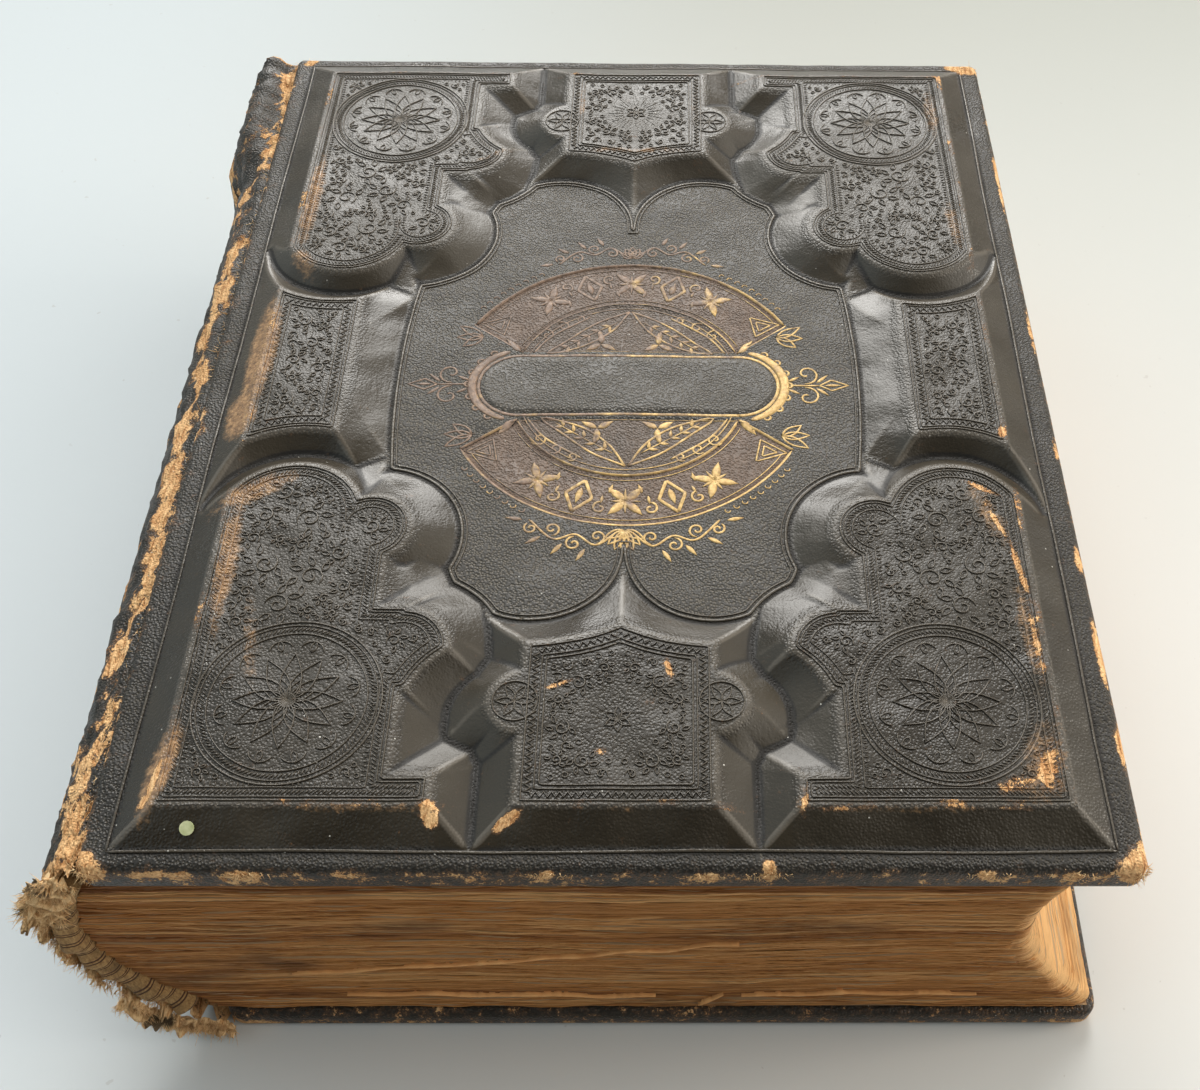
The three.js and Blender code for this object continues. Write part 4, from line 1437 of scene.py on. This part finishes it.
def level_lines(distance, level, width, height, step=0.5):
    """The lines on which a distance is at a level, inside a range of X and a range of Y. Each
    cell of a grid that a line crosses gives a short piece, and the pieces are joined up."""
    (x0, x1), (y0, y1) = width, height
    xs = np.arange(x0, x1 + step / 2, step)
    ys = np.arange(y0, y1 + step / 2, step)
    gx, gy = np.meshgrid(xs, ys)
    value = distance(gx, gy) - level
    above = value > 0
    code = above[:-1, :-1] * 1 + above[:-1, 1:] * 2 + above[1:, 1:] * 4 + above[1:, :-1] * 8
    joined = {}

    def cross(i, j, k):
        """The crossing on edge k of a cell: 0 low, 1 right, 2 high, 3 left."""
        return {0: (i, j, 0), 1: (i, j + 1, 1), 2: (i + 1, j, 0), 3: (i, j, 1)}[k]

    edges = ((0, 1), (1, 2), (2, 3), (3, 0))
    for i, j in zip(*np.nonzero((code > 0) & (code < 15))):
        bits = [(code[i, j] >> k) & 1 for k in range(4)]
        cut = [cross(i, j, k) for k, (a, b) in enumerate(edges) if bits[a] != bits[b]]
        for a, b in zip(cut[::2], cut[1::2]):
            joined.setdefault(a, []).append(b)
            joined.setdefault(b, []).append(a)

    def place(key):
        i, j, up = key
        i2, j2 = (i + 1, j) if up else (i, j + 1)
        a, b = value[i, j], value[i2, j2]
        t = a / (a - b)
        return xs[j] + (xs[j2] - xs[j]) * t, ys[i] + (ys[i2] - ys[i]) * t

    return [np.array([place(k) for k in line]) for line in chains(joined) if len(line) > 4]


def chains(joined):
    """Lists of keys that are joined one to the next; a closed one ends with its first key."""
    lines = []
    while joined:
        ends = [k for k, v in joined.items() if len(v) == 1]
        key = ends[0] if ends else next(iter(joined))
        line = [key]
        while key in joined:
            onward = joined.pop(key)
            following = [k for k in onward if k in joined]
            if not following:
                if not ends and line[0] in onward and len(line) > 2:
                    line.append(line[0])
                break
            key = following[0]
            line.append(key)
        lines.append(line)
    return lines


def spaced(line, spacing):
    """The same line with points about this far apart."""
    length = np.hypot(*np.diff(line, axis=0).T).sum()
    return resampled(line, max(2, int(round(length / spacing)) + 1))


def arc(centre, radius, start=0.0, sweep=360.0, step=0.6):
    """A circle, or as much of it as the sweep says."""
    count = max(6, int(abs(math.radians(sweep)) * radius / step))
    angle = np.radians(np.linspace(start, start + sweep, count))
    return np.column_stack([centre[0] + radius * np.cos(angle), centre[1] + radius * np.sin(angle)])


def spiral(centre, radius, start, turns, hand=1):
    """A curl from its open end inwards."""
    t = np.linspace(0, 1, int(10 * turns) + 6)
    angle = math.radians(start) + hand * TAU * turns * t
    r = radius * (1 - 0.86 * t)
    return np.column_stack([centre[0] + r * np.cos(angle), centre[1] + r * np.sin(angle)])


def leaf_shape(base, angle, length, width):
    """A pointed leaf's closed outline."""
    t = np.linspace(0, 1, 7)
    half = width / 2 * np.sin(np.pi * t**0.8)
    along = np.concatenate([t, t[-2::-1]]) * length
    across = np.concatenate([half, -half[-2::-1]])
    c, s = unit(angle)
    return np.column_stack([base[0] + along * c - across * s, base[1] + along * s + across * c])


def dashes(line, spacing, length, turn):
    """Short strokes set across a line, at a turn from it, like a rope's strands."""
    points = spaced(line, spacing)
    c, s = unit(turn)
    tx, ty = tangents_of(points).T
    way = np.column_stack([tx * c - ty * s, tx * s + ty * c])
    return [np.array([p - w * length / 2, p, p + w * length / 2]) for p, w in zip(points, way)]


def zigzag(line, spacing, reach):
    """A line of teeth about another line."""
    points = spaced(line, spacing)
    side = normals_of(points) * np.where(np.arange(len(points)) % 2, reach, -reach)[:, None]
    return points + side


def packed(distance, region, margin, radii, seed):
    """Circles of several sizes packed inside a shape: centre x, y and radius."""
    rng = np.random.default_rng(seed)
    (x0, x1), (y0, y1) = region
    placed = np.empty((0, 3))
    for radius, tries in radii:
        spots = np.column_stack([rng.uniform(x0, x1, tries), rng.uniform(y0, y1, tries)])
        fits = distance(spots[:, 0], spots[:, 1]) < -(margin + radius)
        for x, y in spots[fits]:
            apart = np.hypot(placed[:, 0] - x, placed[:, 1] - y) - placed[:, 2] - radius
            if not len(placed) or apart.min() > 0.25:
                placed = np.vstack([placed, (x, y, radius)])
    return placed


def foliage(circles, seed):
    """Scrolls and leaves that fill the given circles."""
    rng = np.random.default_rng(seed)
    strokes = []
    for x, y, radius in circles:
        start, hand = rng.uniform(0, 360), rng.choice([-1, 1])
        if radius > 2.2:
            strokes.append((spiral((x, y), radius * 0.62, start, 1.35, hand), 0.5))
            for k in range(5):
                angle = start + 180 + hand * (k * 52 - 100)
                base = (x, y) + radius * 0.62 * unit(angle)
                leaf = leaf_shape(base, angle + hand * 35, radius * 0.62, radius * 0.3)
                strokes.append((leaf, 0.38))
        elif radius > 1.2:
            strokes.append((spiral((x, y), radius, start, 1.1, hand), 0.42))
            strokes.append((leaf_shape((x, y), start + 90, radius * 1.1, radius * 0.55), 0.34))
        else:
            strokes.append((arc((x, y), radius * 0.7, step=0.45), 0.34))
    return strokes


def as_beads(strokes, lift):
    """Points and faces of rounded beads along the strokes, lying on the relief."""
    points, faces, start = [], [], 0
    profile = ((-0.5, -0.08), (-0.2, 1.0), (0.2, 1.0), (0.5, -0.08))
    for line, width in strokes:
        line = np.asarray(line, float)
        keep = np.r_[True, np.hypot(*np.diff(line, axis=0).T) > 1e-4]
        line = line[keep]
        if len(line) < 2:
            continue
        normal = normals_of(line)
        taper = np.full(len(line), 1.0)
        if np.hypot(*(line[0] - line[-1])) > 0.05:
            taper[[0, -1]] = 0.35
        width = np.broadcast_to(width, len(line)) * taper
        for across, up in profile:
            flat = line + normal * (across * width)[:, None]
            rise = up * np.minimum(lift, 0.6 * width) if up > 0 else np.full(len(line), up)
            points.append(np.column_stack([flat, rise]))
        count = len(line)
        grid = np.arange(4 * count).reshape(4, count) + start
        for a, b in zip(grid[:-1], grid[1:]):
            faces += np.stack([a[:-1], a[1:], b[1:], b[:-1]], -1).tolist()
        faces += [grid[::-1, 0].tolist(), grid[:, -1].tolist()]
        faces += np.stack([grid[3][:-1], grid[3][1:], grid[0][1:], grid[0][:-1]], -1).tolist()
        start += 4 * count
    points = np.concatenate(points)
    points[:, 2] += relief(points[:, 0], points[:, 1])
    return points, faces


def on_arc(angle, radius, drop=0.0):
    """A point at a distance from the centre, less a drop: the angle is from straight up."""
    a = math.radians(angle)
    return np.array([radius * math.sin(a), radius * math.cos(a) - drop])


def mirrored(strokes, signs):
    """The strokes once for each pair of signs of X and Y."""
    return [(line * sign, width) for sign in signs for line, width in strokes]


FOUR = ((1, 1), (-1, 1), (-1, -1), (1, -1))
MEDALLION = (81.5, 117.0)
SHIELD_FLOWER = (0, 122)


def plateau_edge(panel):
    """Distance to a panel's flat top: the panel, cut off by the cover's outer slopes."""
    return lambda x, y: highest(panel(x, y), np.abs(x) - PLATEAU[0], np.abs(y) - PLATEAU[1])


def bordered(edge, region, rows):
    """The lines that follow a panel's edge: plain lines, ropes and zigzags at their insets."""
    strokes = []
    for kind, inset, width in rows:
        for line in level_lines(edge, -inset, *region):
            if kind == "line":
                strokes.append((spaced(line, 0.9), width))
            elif kind == "rope":
                strokes += [(dash, width) for dash in dashes(line, 1.05, 1.7, 48)]
            elif kind == "tooth":
                strokes += [(dash, width) for dash in dashes(line, 1.3, 1.2, 90)]
            else:
                strokes.append((zigzag(line, 0.95, 0.75), width))
    return strokes


def corner_strokes():
    """A corner panel: its borders, a flower medallion and foliage between them."""
    edge = plateau_edge(corner_panel)
    region = ((30, 112), (36, 148))
    rows = [("line", 0.9, 0.5), ("line", 1.8, 0.35), ("rope", 3.0, 0.4), ("line", 4.2, 0.35),
            ("tooth", 5.1, 0.34)]
    strokes = bordered(edge, region, rows)
    for radius, width in ((23.2, 0.55), (22.1, 0.35), (19.6, 0.4)):
        strokes.append((arc(MEDALLION, radius), width))
    strokes += [(dash, 0.4) for dash in dashes(arc(MEDALLION, 20.9), 1.05, 1.7, 48)]
    for k in range(12):
        strokes.append((leaf_shape(MEDALLION, 30 * k, 13.5, 5.2), 0.42))
        tip = MEDALLION + 14.6 * unit(30 * k + 15)
        strokes.append((arc(tip, 3.1, 30 * k - 60, 150), 0.4))
        strokes.append((leaf_shape(tip, 30 * k + 15, 3.4, 1.5), 0.32))
    for k in range(8):
        strokes.append((leaf_shape(MEDALLION, 45 * k + 22, 6.5, 2.6), 0.36))
    strokes.append((arc(MEDALLION, 2.0), 0.4))

    def inner(x, y):
        return highest(edge(x, y) + 5.6, 23.6 - np.hypot(x - MEDALLION[0], y - MEDALLION[1]))

    sizes = [(5.6, 500), (4.2, 1200), (3.2, 2500), (2.3, 5000), (1.5, 9000), (0.9, 14000)]
    return strokes + foliage(packed(inner, region, 0.1, sizes, 21), 22)


def side_strokes():
    """A side panel: its borders around foliage."""
    edge = plateau_edge(side_panel)
    region = ((80, 112), (-40, 40))
    rows = [("line", 0.9, 0.5), ("line", 1.8, 0.35), ("line", 4.6, 0.4), ("zigzag", 3.2, 0.36)]

    def whole(x, y):
        return edge(np.abs(x), np.abs(y))

    strokes = bordered(whole, region, rows)
    sizes = [(3.6, 300), (2.6, 1500), (1.8, 4000), (1.1, 9000)]
    return strokes + foliage(packed(whole, region, 5.0, sizes, 31), 32)


def shield_strokes():
    """A shield: its borders, a flower with rays, a flower in each side lobe, and foliage."""
    edge = plateau_edge(shield_panel)
    region = ((-34, 34), (90, 148))

    def whole(x, y):
        return edge(np.abs(x), y)

    strokes = bordered(
        lambda x, y: highest(whole(x, y), np.abs(x) - 23.4), region,
        [("line", 0.9, 0.5), ("zigzag", 2.4, 0.42), ("line", 3.9, 0.4), ("line", 5.0, 0.5)],
    )
    for sign in (-1, 1):
        star = (sign * 25.6, 117)
        strokes.append((arc(star, 5.6), 0.45))
        strokes += [(leaf_shape(star, 60 * k, 4.9, 1.9), 0.36) for k in range(6)]
    for k in range(25):
        angle = -90 + 14.4 * k
        inner_r, outer_r = (4.4, 9.6) if k % 2 else (4.4, 7.4)
        ray = [on_arc(90 - angle, r) + SHIELD_FLOWER for r in (inner_r, outer_r)]
        strokes.append((np.array(ray), 0.42))
    strokes += [(leaf_shape(SHIELD_FLOWER, 60 * k + 30, 3.6, 1.9), 0.4) for k in range(6)]

    def inner(x, y):
        return highest(whole(x, y) + 5.8, np.abs(x) - 17.6, -disc(x, y, SHIELD_FLOWER, 10.2))

    sizes = [(3.4, 900), (2.4, 2500), (1.6, 6000), (1.0, 9000)]
    half = packed(lambda x, y: highest(inner(x, y), 0.8 - x), region, 0.1, sizes, 41)
    right = foliage(half, 42)
    return strokes + mirrored(right, ((1, 1), (-1, 1)))


def field_strokes():
    """The double line around the low middle, and the crease at the foot of the outer slopes."""
    strokes = []
    region = ((-72, 72), (-95, 95))

    def middle(x, y):
        return field(np.abs(x), np.abs(y))

    for inset, width in ((1.0, 0.9), (2.3, 0.45)):
        strokes += [(spaced(line, 1.0), width) for line in level_lines(middle, -inset, *region)]
    crease = [(-CREASE[0], -CREASE[1]), (CREASE[0], -CREASE[1]), CREASE, (-CREASE[0], CREASE[1])]
    for start, end in zip(crease, crease[1:] + crease[:1]):
        line = spaced(np.array([start, end]), 1.5)
        strokes.append((line + 0.25 * np.sin(line[:, ::-1] / 17), 0.8))
    return strokes


TOOLING_WIDER, TOOLING_LIFT = 1.3, 0.32
GROOVE_WIDER, GROOVE_LIFT, GILT_LIFT = 0.8, 0.03, 0.12


def add_tooling():
    """The blind tooling, with painted shade at the foot of every line and a pale top, partly
    rubbed and partly a painted highlight.
    """
    strokes = mirrored(corner_strokes(), FOUR) + mirrored(side_strokes(), ((1, 1), (-1, 1)))
    strokes += mirrored(shield_strokes(), ((1, 1), (1, -1))) + field_strokes()
    strokes = [(line, width * TOOLING_WIDER) for line, width in strokes]
    points, faces = as_beads(strokes, TOOLING_LIFT)
    x, y = points[:, 0], points[:, 1]
    top = points[:, 2] > relief(x, y)
    # The line attribute is 1 on a bead's top, which is paler and takes a painted highlight, and -1
    # at its foot, which takes painted shade.
    build(
        "front_tooling", on_front(points), faces, LEATHER, "front_cover", "cover_leather",
        wear=front_wear(x, y) + 0.05, burnish=np.full(len(x), 0.8), line=np.where(top, 1.0, -1.0),
        rub=worn_spots(x, y, RUBBED) * 1.1, dust=np.ones(len(x)),
    )


add_tooling()


# ---- The gilt ornament ----


def arch(radius, reach, drop=0.0, step=1.2):
    """An arc over the label, to this many degrees on each side of its top."""
    count = max(8, int(math.radians(2 * reach) * radius / step))
    return np.array([on_arc(a, radius, drop) for a in np.linspace(-reach, reach, count)])


def filled(base, way, length, width):
    """A solid leaf: one stroke that swells in the middle."""
    t = np.linspace(0, 1, 7)
    line = np.asarray(base) + np.outer(t * length, unit(way))
    return line, np.maximum(width * np.sin(np.pi * t**0.8), 0.15)


def band_motifs():
    """Four-leaved flowers and lozenges in turn along the middle of a band, with curling
    sprigs between them."""
    strokes = []
    middle, step = (BAND_OUTER + BAND_INNER) / 2 - 0.6, 17.2
    for k in range(-2, 3):
        angle = k * step
        spot = np.array(on_arc(angle, middle))
        turn = 90 - angle
        if k % 2 == 0:
            for petal in range(4):
                strokes.append(filled(spot, turn + 45 + 90 * petal, 7.0, 3.4))
                strokes.append(filled(spot, turn + 90 * petal, 4.4, 1.3))
            strokes.append((arc(spot, 1.4), 1.2))
        else:
            corners = [(5.8, 0), (0, 3.9), (-5.8, 0), (0, -3.9), (5.8, 0)]
            c, s = unit(turn)
            line = [spot + (u * c - v * s, u * s + v * c) for u, v in corners]
            strokes.append((spaced(np.array(line), 0.9), 1.5))
            strokes.append(filled(spot - 3.0 * unit(turn), turn, 6.0, 2.6))
    for k in range(-2, 2):
        angle = (k + 0.5) * step
        turn = 90 - angle
        sign = 1 if k % 2 == 0 else -1
        root = on_arc(angle - 2.2 * sign, middle - 2.6)
        strokes.append((spiral(on_arc(angle, middle + 3.0), 2.3, turn + 180, 1.1, sign), 1.1))
        strokes.append(filled(root, turn + 170 * sign, 3.4, 1.6))
        strokes.append(filled(on_arc(angle, middle - 1.6), turn, 3.2, 1.3))
    return strokes


def band_end(side):
    """The slanting end of a band: its edge, a triangle in another, a spray, and commas."""
    tip, inner = (side * 48.0, 25.4), (side * 32.4, 13.6)
    strokes = [(spaced(np.array([tip, inner]), 1.2), 1.1)]
    for corners, width in (
        ([(46.0, 26.2), (38.6, 21.2), (37.0, 29.5), (46.0, 26.2)], 0.75),
        ([(43.2, 26.0), (39.6, 23.6), (38.8, 27.6), (43.2, 26.0)], 0.8),
    ):
        strokes.append((spaced(np.array(corners) * (side, 1), 0.9), width))
    for k in range(3):
        way = 90 - side * (58 + 34 * k)
        strokes.append((leaf_shape((side * 45.0, 20.1), way, 8.6 - 0.8 * k, 2.9), 0.9))
    for k in range(9):
        angle = side * (30 + 2.9 * k)
        spot = on_arc(angle, BAND_OUTER + 2.2, BAND_DROP)
        strokes.append((arc(spot, 0.8, 90 - angle - side * 60, side * 210, 0.4), 0.55))
    return strokes


def petals(side):
    """Pointed petals under the band, each with a stem and leaves, and curls beside them."""
    strokes = []
    for way, count, width in (
        ([(0.4, 31.5), (10, 26.6), (19, 19.0), (25, 13.2), (14, 16.4), (5.6, 23), (0.4, 31.5)],
         44, 1.05),
        ([(4, 26.8), (12, 21.4), (21, 15)], 14, 0.65),
        ([(29.2, 13.4), (23.6, 20.9), (12.5, 29.0)], 20, 1.0),
    ):
        strokes.append((curved(np.array(way) * (side, 1), count), width))
    for k in range(5):
        base = np.array([6.2 + 3.1 * k, 25.2 - 2.2 * k]) * (side, 1)
        strokes += [filled(base, 90 - side * (130 + w), 3.1, 1.6) for w in (-44, 44)]
    for x, y, radius, lean in ((25.4, 21.2, 2.5, 60), (20.6, 24.9, 2.1, 50), (15.6, 28.0, 1.7, 40)):
        strokes.append((spiral((side * x, y), radius, 90 - side * lean, 1.2, side), 0.85))
    return strokes + [filled((side * 8.8, 17.2), way, 5.4, 2.8) for way in (90, 210, 330)]


def half_ornament(lower):
    """The gilding over the label's middle line; the lower half is its mirror image, with a
    fuller tailpiece."""
    strokes = [
        (arch(BAND_OUTER - 0.3, 60.0, BAND_DROP), 1.25),
        (arch(BAND_OUTER - 2.2, 57.5, BAND_DROP), 0.5),
        (arch(BAND_INNER + 0.3, 66.0), 1.0),
        (arch(BAND_INNER + 2.1, 63.0), 0.45),
        (arch(BAND_INNER - 1.9, 67.5), 0.6),
    ]
    strokes += band_motifs()
    for side in (-1, 1):
        strokes += band_end(side) + petals(side)
    base, size = (55.6, 1.12) if lower else (57.2, 1.0)
    return strokes + crest(base, size, lower)


def crest(base, size, lower):
    """Scrolls over the middle of a band, with a fan of leaves between them."""
    strokes = []

    def place(side, x, y):
        return side * x * size, base + y * size - 0.0046 * x * x

    for side in (-1, 1):
        stem = [(2, 0.2), (7, 4.2), (12, 1.4), (17.5, 3.4), (23.5, -1.6)]
        strokes.append((curved([place(side, x, y) for x, y in stem], 34), 1.0))
        curls = [
            (6.6, 1.6, 2.1, 90), (12.3, 4.3, 2.2, -90), (17.8, 0.4, 2.2, 90), (23.0, 1.0, 1.8, -60)
        ]
        for x, y, radius, start in curls:
            turn = start if side > 0 else 180 - start
            strokes.append((spiral(place(side, x, y), radius * size, turn, 1.25, side), 0.95))
        for x, y, way in ((9.4, 5.6, 60), (15.0, 4.6, 50), (20.4, 3.2, 30), (25.2, -1.2, -10)):
            turn = way if side > 0 else 180 - way
            strokes.append(filled(place(side, x, y), turn, 4.4 * size, 1.9))
    fan = 7 if lower else 5
    for k in range(fan):
        way = 90 + (k - (fan - 1) / 2) * (150 / fan)
        reach = (7.5 if lower else 5.0) * (1 - 0.07 * abs(k - (fan - 1) / 2))
        strokes.append((leaf_shape((0, base - 0.6), way, reach, 2.5), 0.9))
    return strokes


def finial(side):
    """A diamond tip on a stem, between two curls and two pairs of leaves."""
    turn = 0 if side > 0 else 180
    diamond = [(57, 0), (60.6, 2.2), (65.5, 0), (60.6, -2.2), (57, 0)]
    strokes = [
        (spaced(np.array([(side * 48, 0), (side * 57, 0)]), 1), 0.9),
        (spaced(np.array(diamond) * (side, 1), 0.8), 0.85),
        filled((side * 58.6, 0), turn, 5.0, 1.5),
    ]
    for up in (-1, 1):
        start = -up * 100 if side > 0 else 180 + up * 100
        strokes.append((spiral((side * 53.2, up * 4.6), 4.0, start, 1.1, up * side), 0.95))
        for x, y, lean, length in ((56.0, 1.0, 42, 5.0), (47.6, 1.6, 28, 4.0)):
            way = 90 - side * (90 - up * lean)
            strokes.append(filled((side * x, up * y), way, length, 1.5))
    return strokes


def label_ends():
    """The label's border, thick and scalloped around both round ends, and the finials."""
    outline = [
        arc((LABEL_END, 0), LABEL_RADIUS, -90, 180), arc((-LABEL_END, 0), LABEL_RADIUS, 90, 180)
    ]
    outline = np.concatenate([*outline, outline[0][:1]])
    strokes = [(spaced(outline, 0.9), 1.4)]
    for side in (-1, 1):
        turn = 0 if side > 0 else 180
        crescent = arc((side * LABEL_END, 0), 14.0, turn - 76, 152)
        swell = np.sin(np.linspace(0, np.pi, len(crescent))) ** 0.35
        strokes.append((crescent, 0.7 + 3.0 * swell))
        for up in (-1, 1):
            strokes.append(filled((side * 33, up * 13.6), 90 * up - 38 * side * up, 7.5, 3.2))
        for k in range(7):
            angle = turn + (k - 3) * 19
            centre = (side * LABEL_END, 0) + 15.2 * unit(angle)
            strokes.append((arc(centre, 1.0, angle - 100, 200, 0.35), 1.0))
        for y in (14.0, -14.0):
            strokes.append((spaced(np.array([(side * 32, y), (0.0, y)]), 1.0), 0.4))
        strokes += finial(side)
    return strokes


def add_gilding():
    """The gilding, and the wider dark groove that it lies in."""
    strokes = half_ornament(False) + mirrored(half_ornament(True), ((1, -1),)) + label_ends()
    strokes = [(line + (0, ORNAMENT_Y), width) for line, width in strokes]
    wider = [(line, width + GROOVE_WIDER) for line, width in strokes]
    points, faces = as_beads(wider, GROOVE_LIFT)
    build("ornament_outline", on_front(points), faces, LEATHER, "front_cover", "cover_leather")
    points, faces = as_beads(strokes, GILT_LIFT)
    build("gilt_ornament", on_front(points), faces, GILDING, "front_cover", "cover_leather")


add_gilding()


# ---- The floor, and the looks of the CAD pieces that are kept ----

FLOOR_HALF = 3000
corners = [(x * FLOOR_HALF, y * FLOOR_HALF, 0) for x, y in ((-1, -1), (1, -1), (1, 1), (-1, 1))]
floor = build("floor", corners, [(0, 1, 2, 3)], floor_material(), None, None, closed=False)

NODE_MATERIALS = {
    "front_board": BOARD, "back_board": BOARD, "spine_stiffener": BOARD,
    "front_pastedown": ENDPAPER, "back_pastedown": ENDPAPER, "mull": MULL,
    "spine_lining": ENDPAPER, "round_sticker": STICKER, "title_leaf": PAGE,
    "frontispiece_leaf": PAGE, "front_flyleaf": ENDPAPER, "back_flyleaf": ENDPAPER,
}
for name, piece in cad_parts.items():
    by_kind = BOARD if "panel" in name else CORD if "cord" in name else None
    material = NODE_MATERIALS.get(name, by_kind)
    if material:
        piece.data.materials.clear()
        piece.data.materials.append(material)
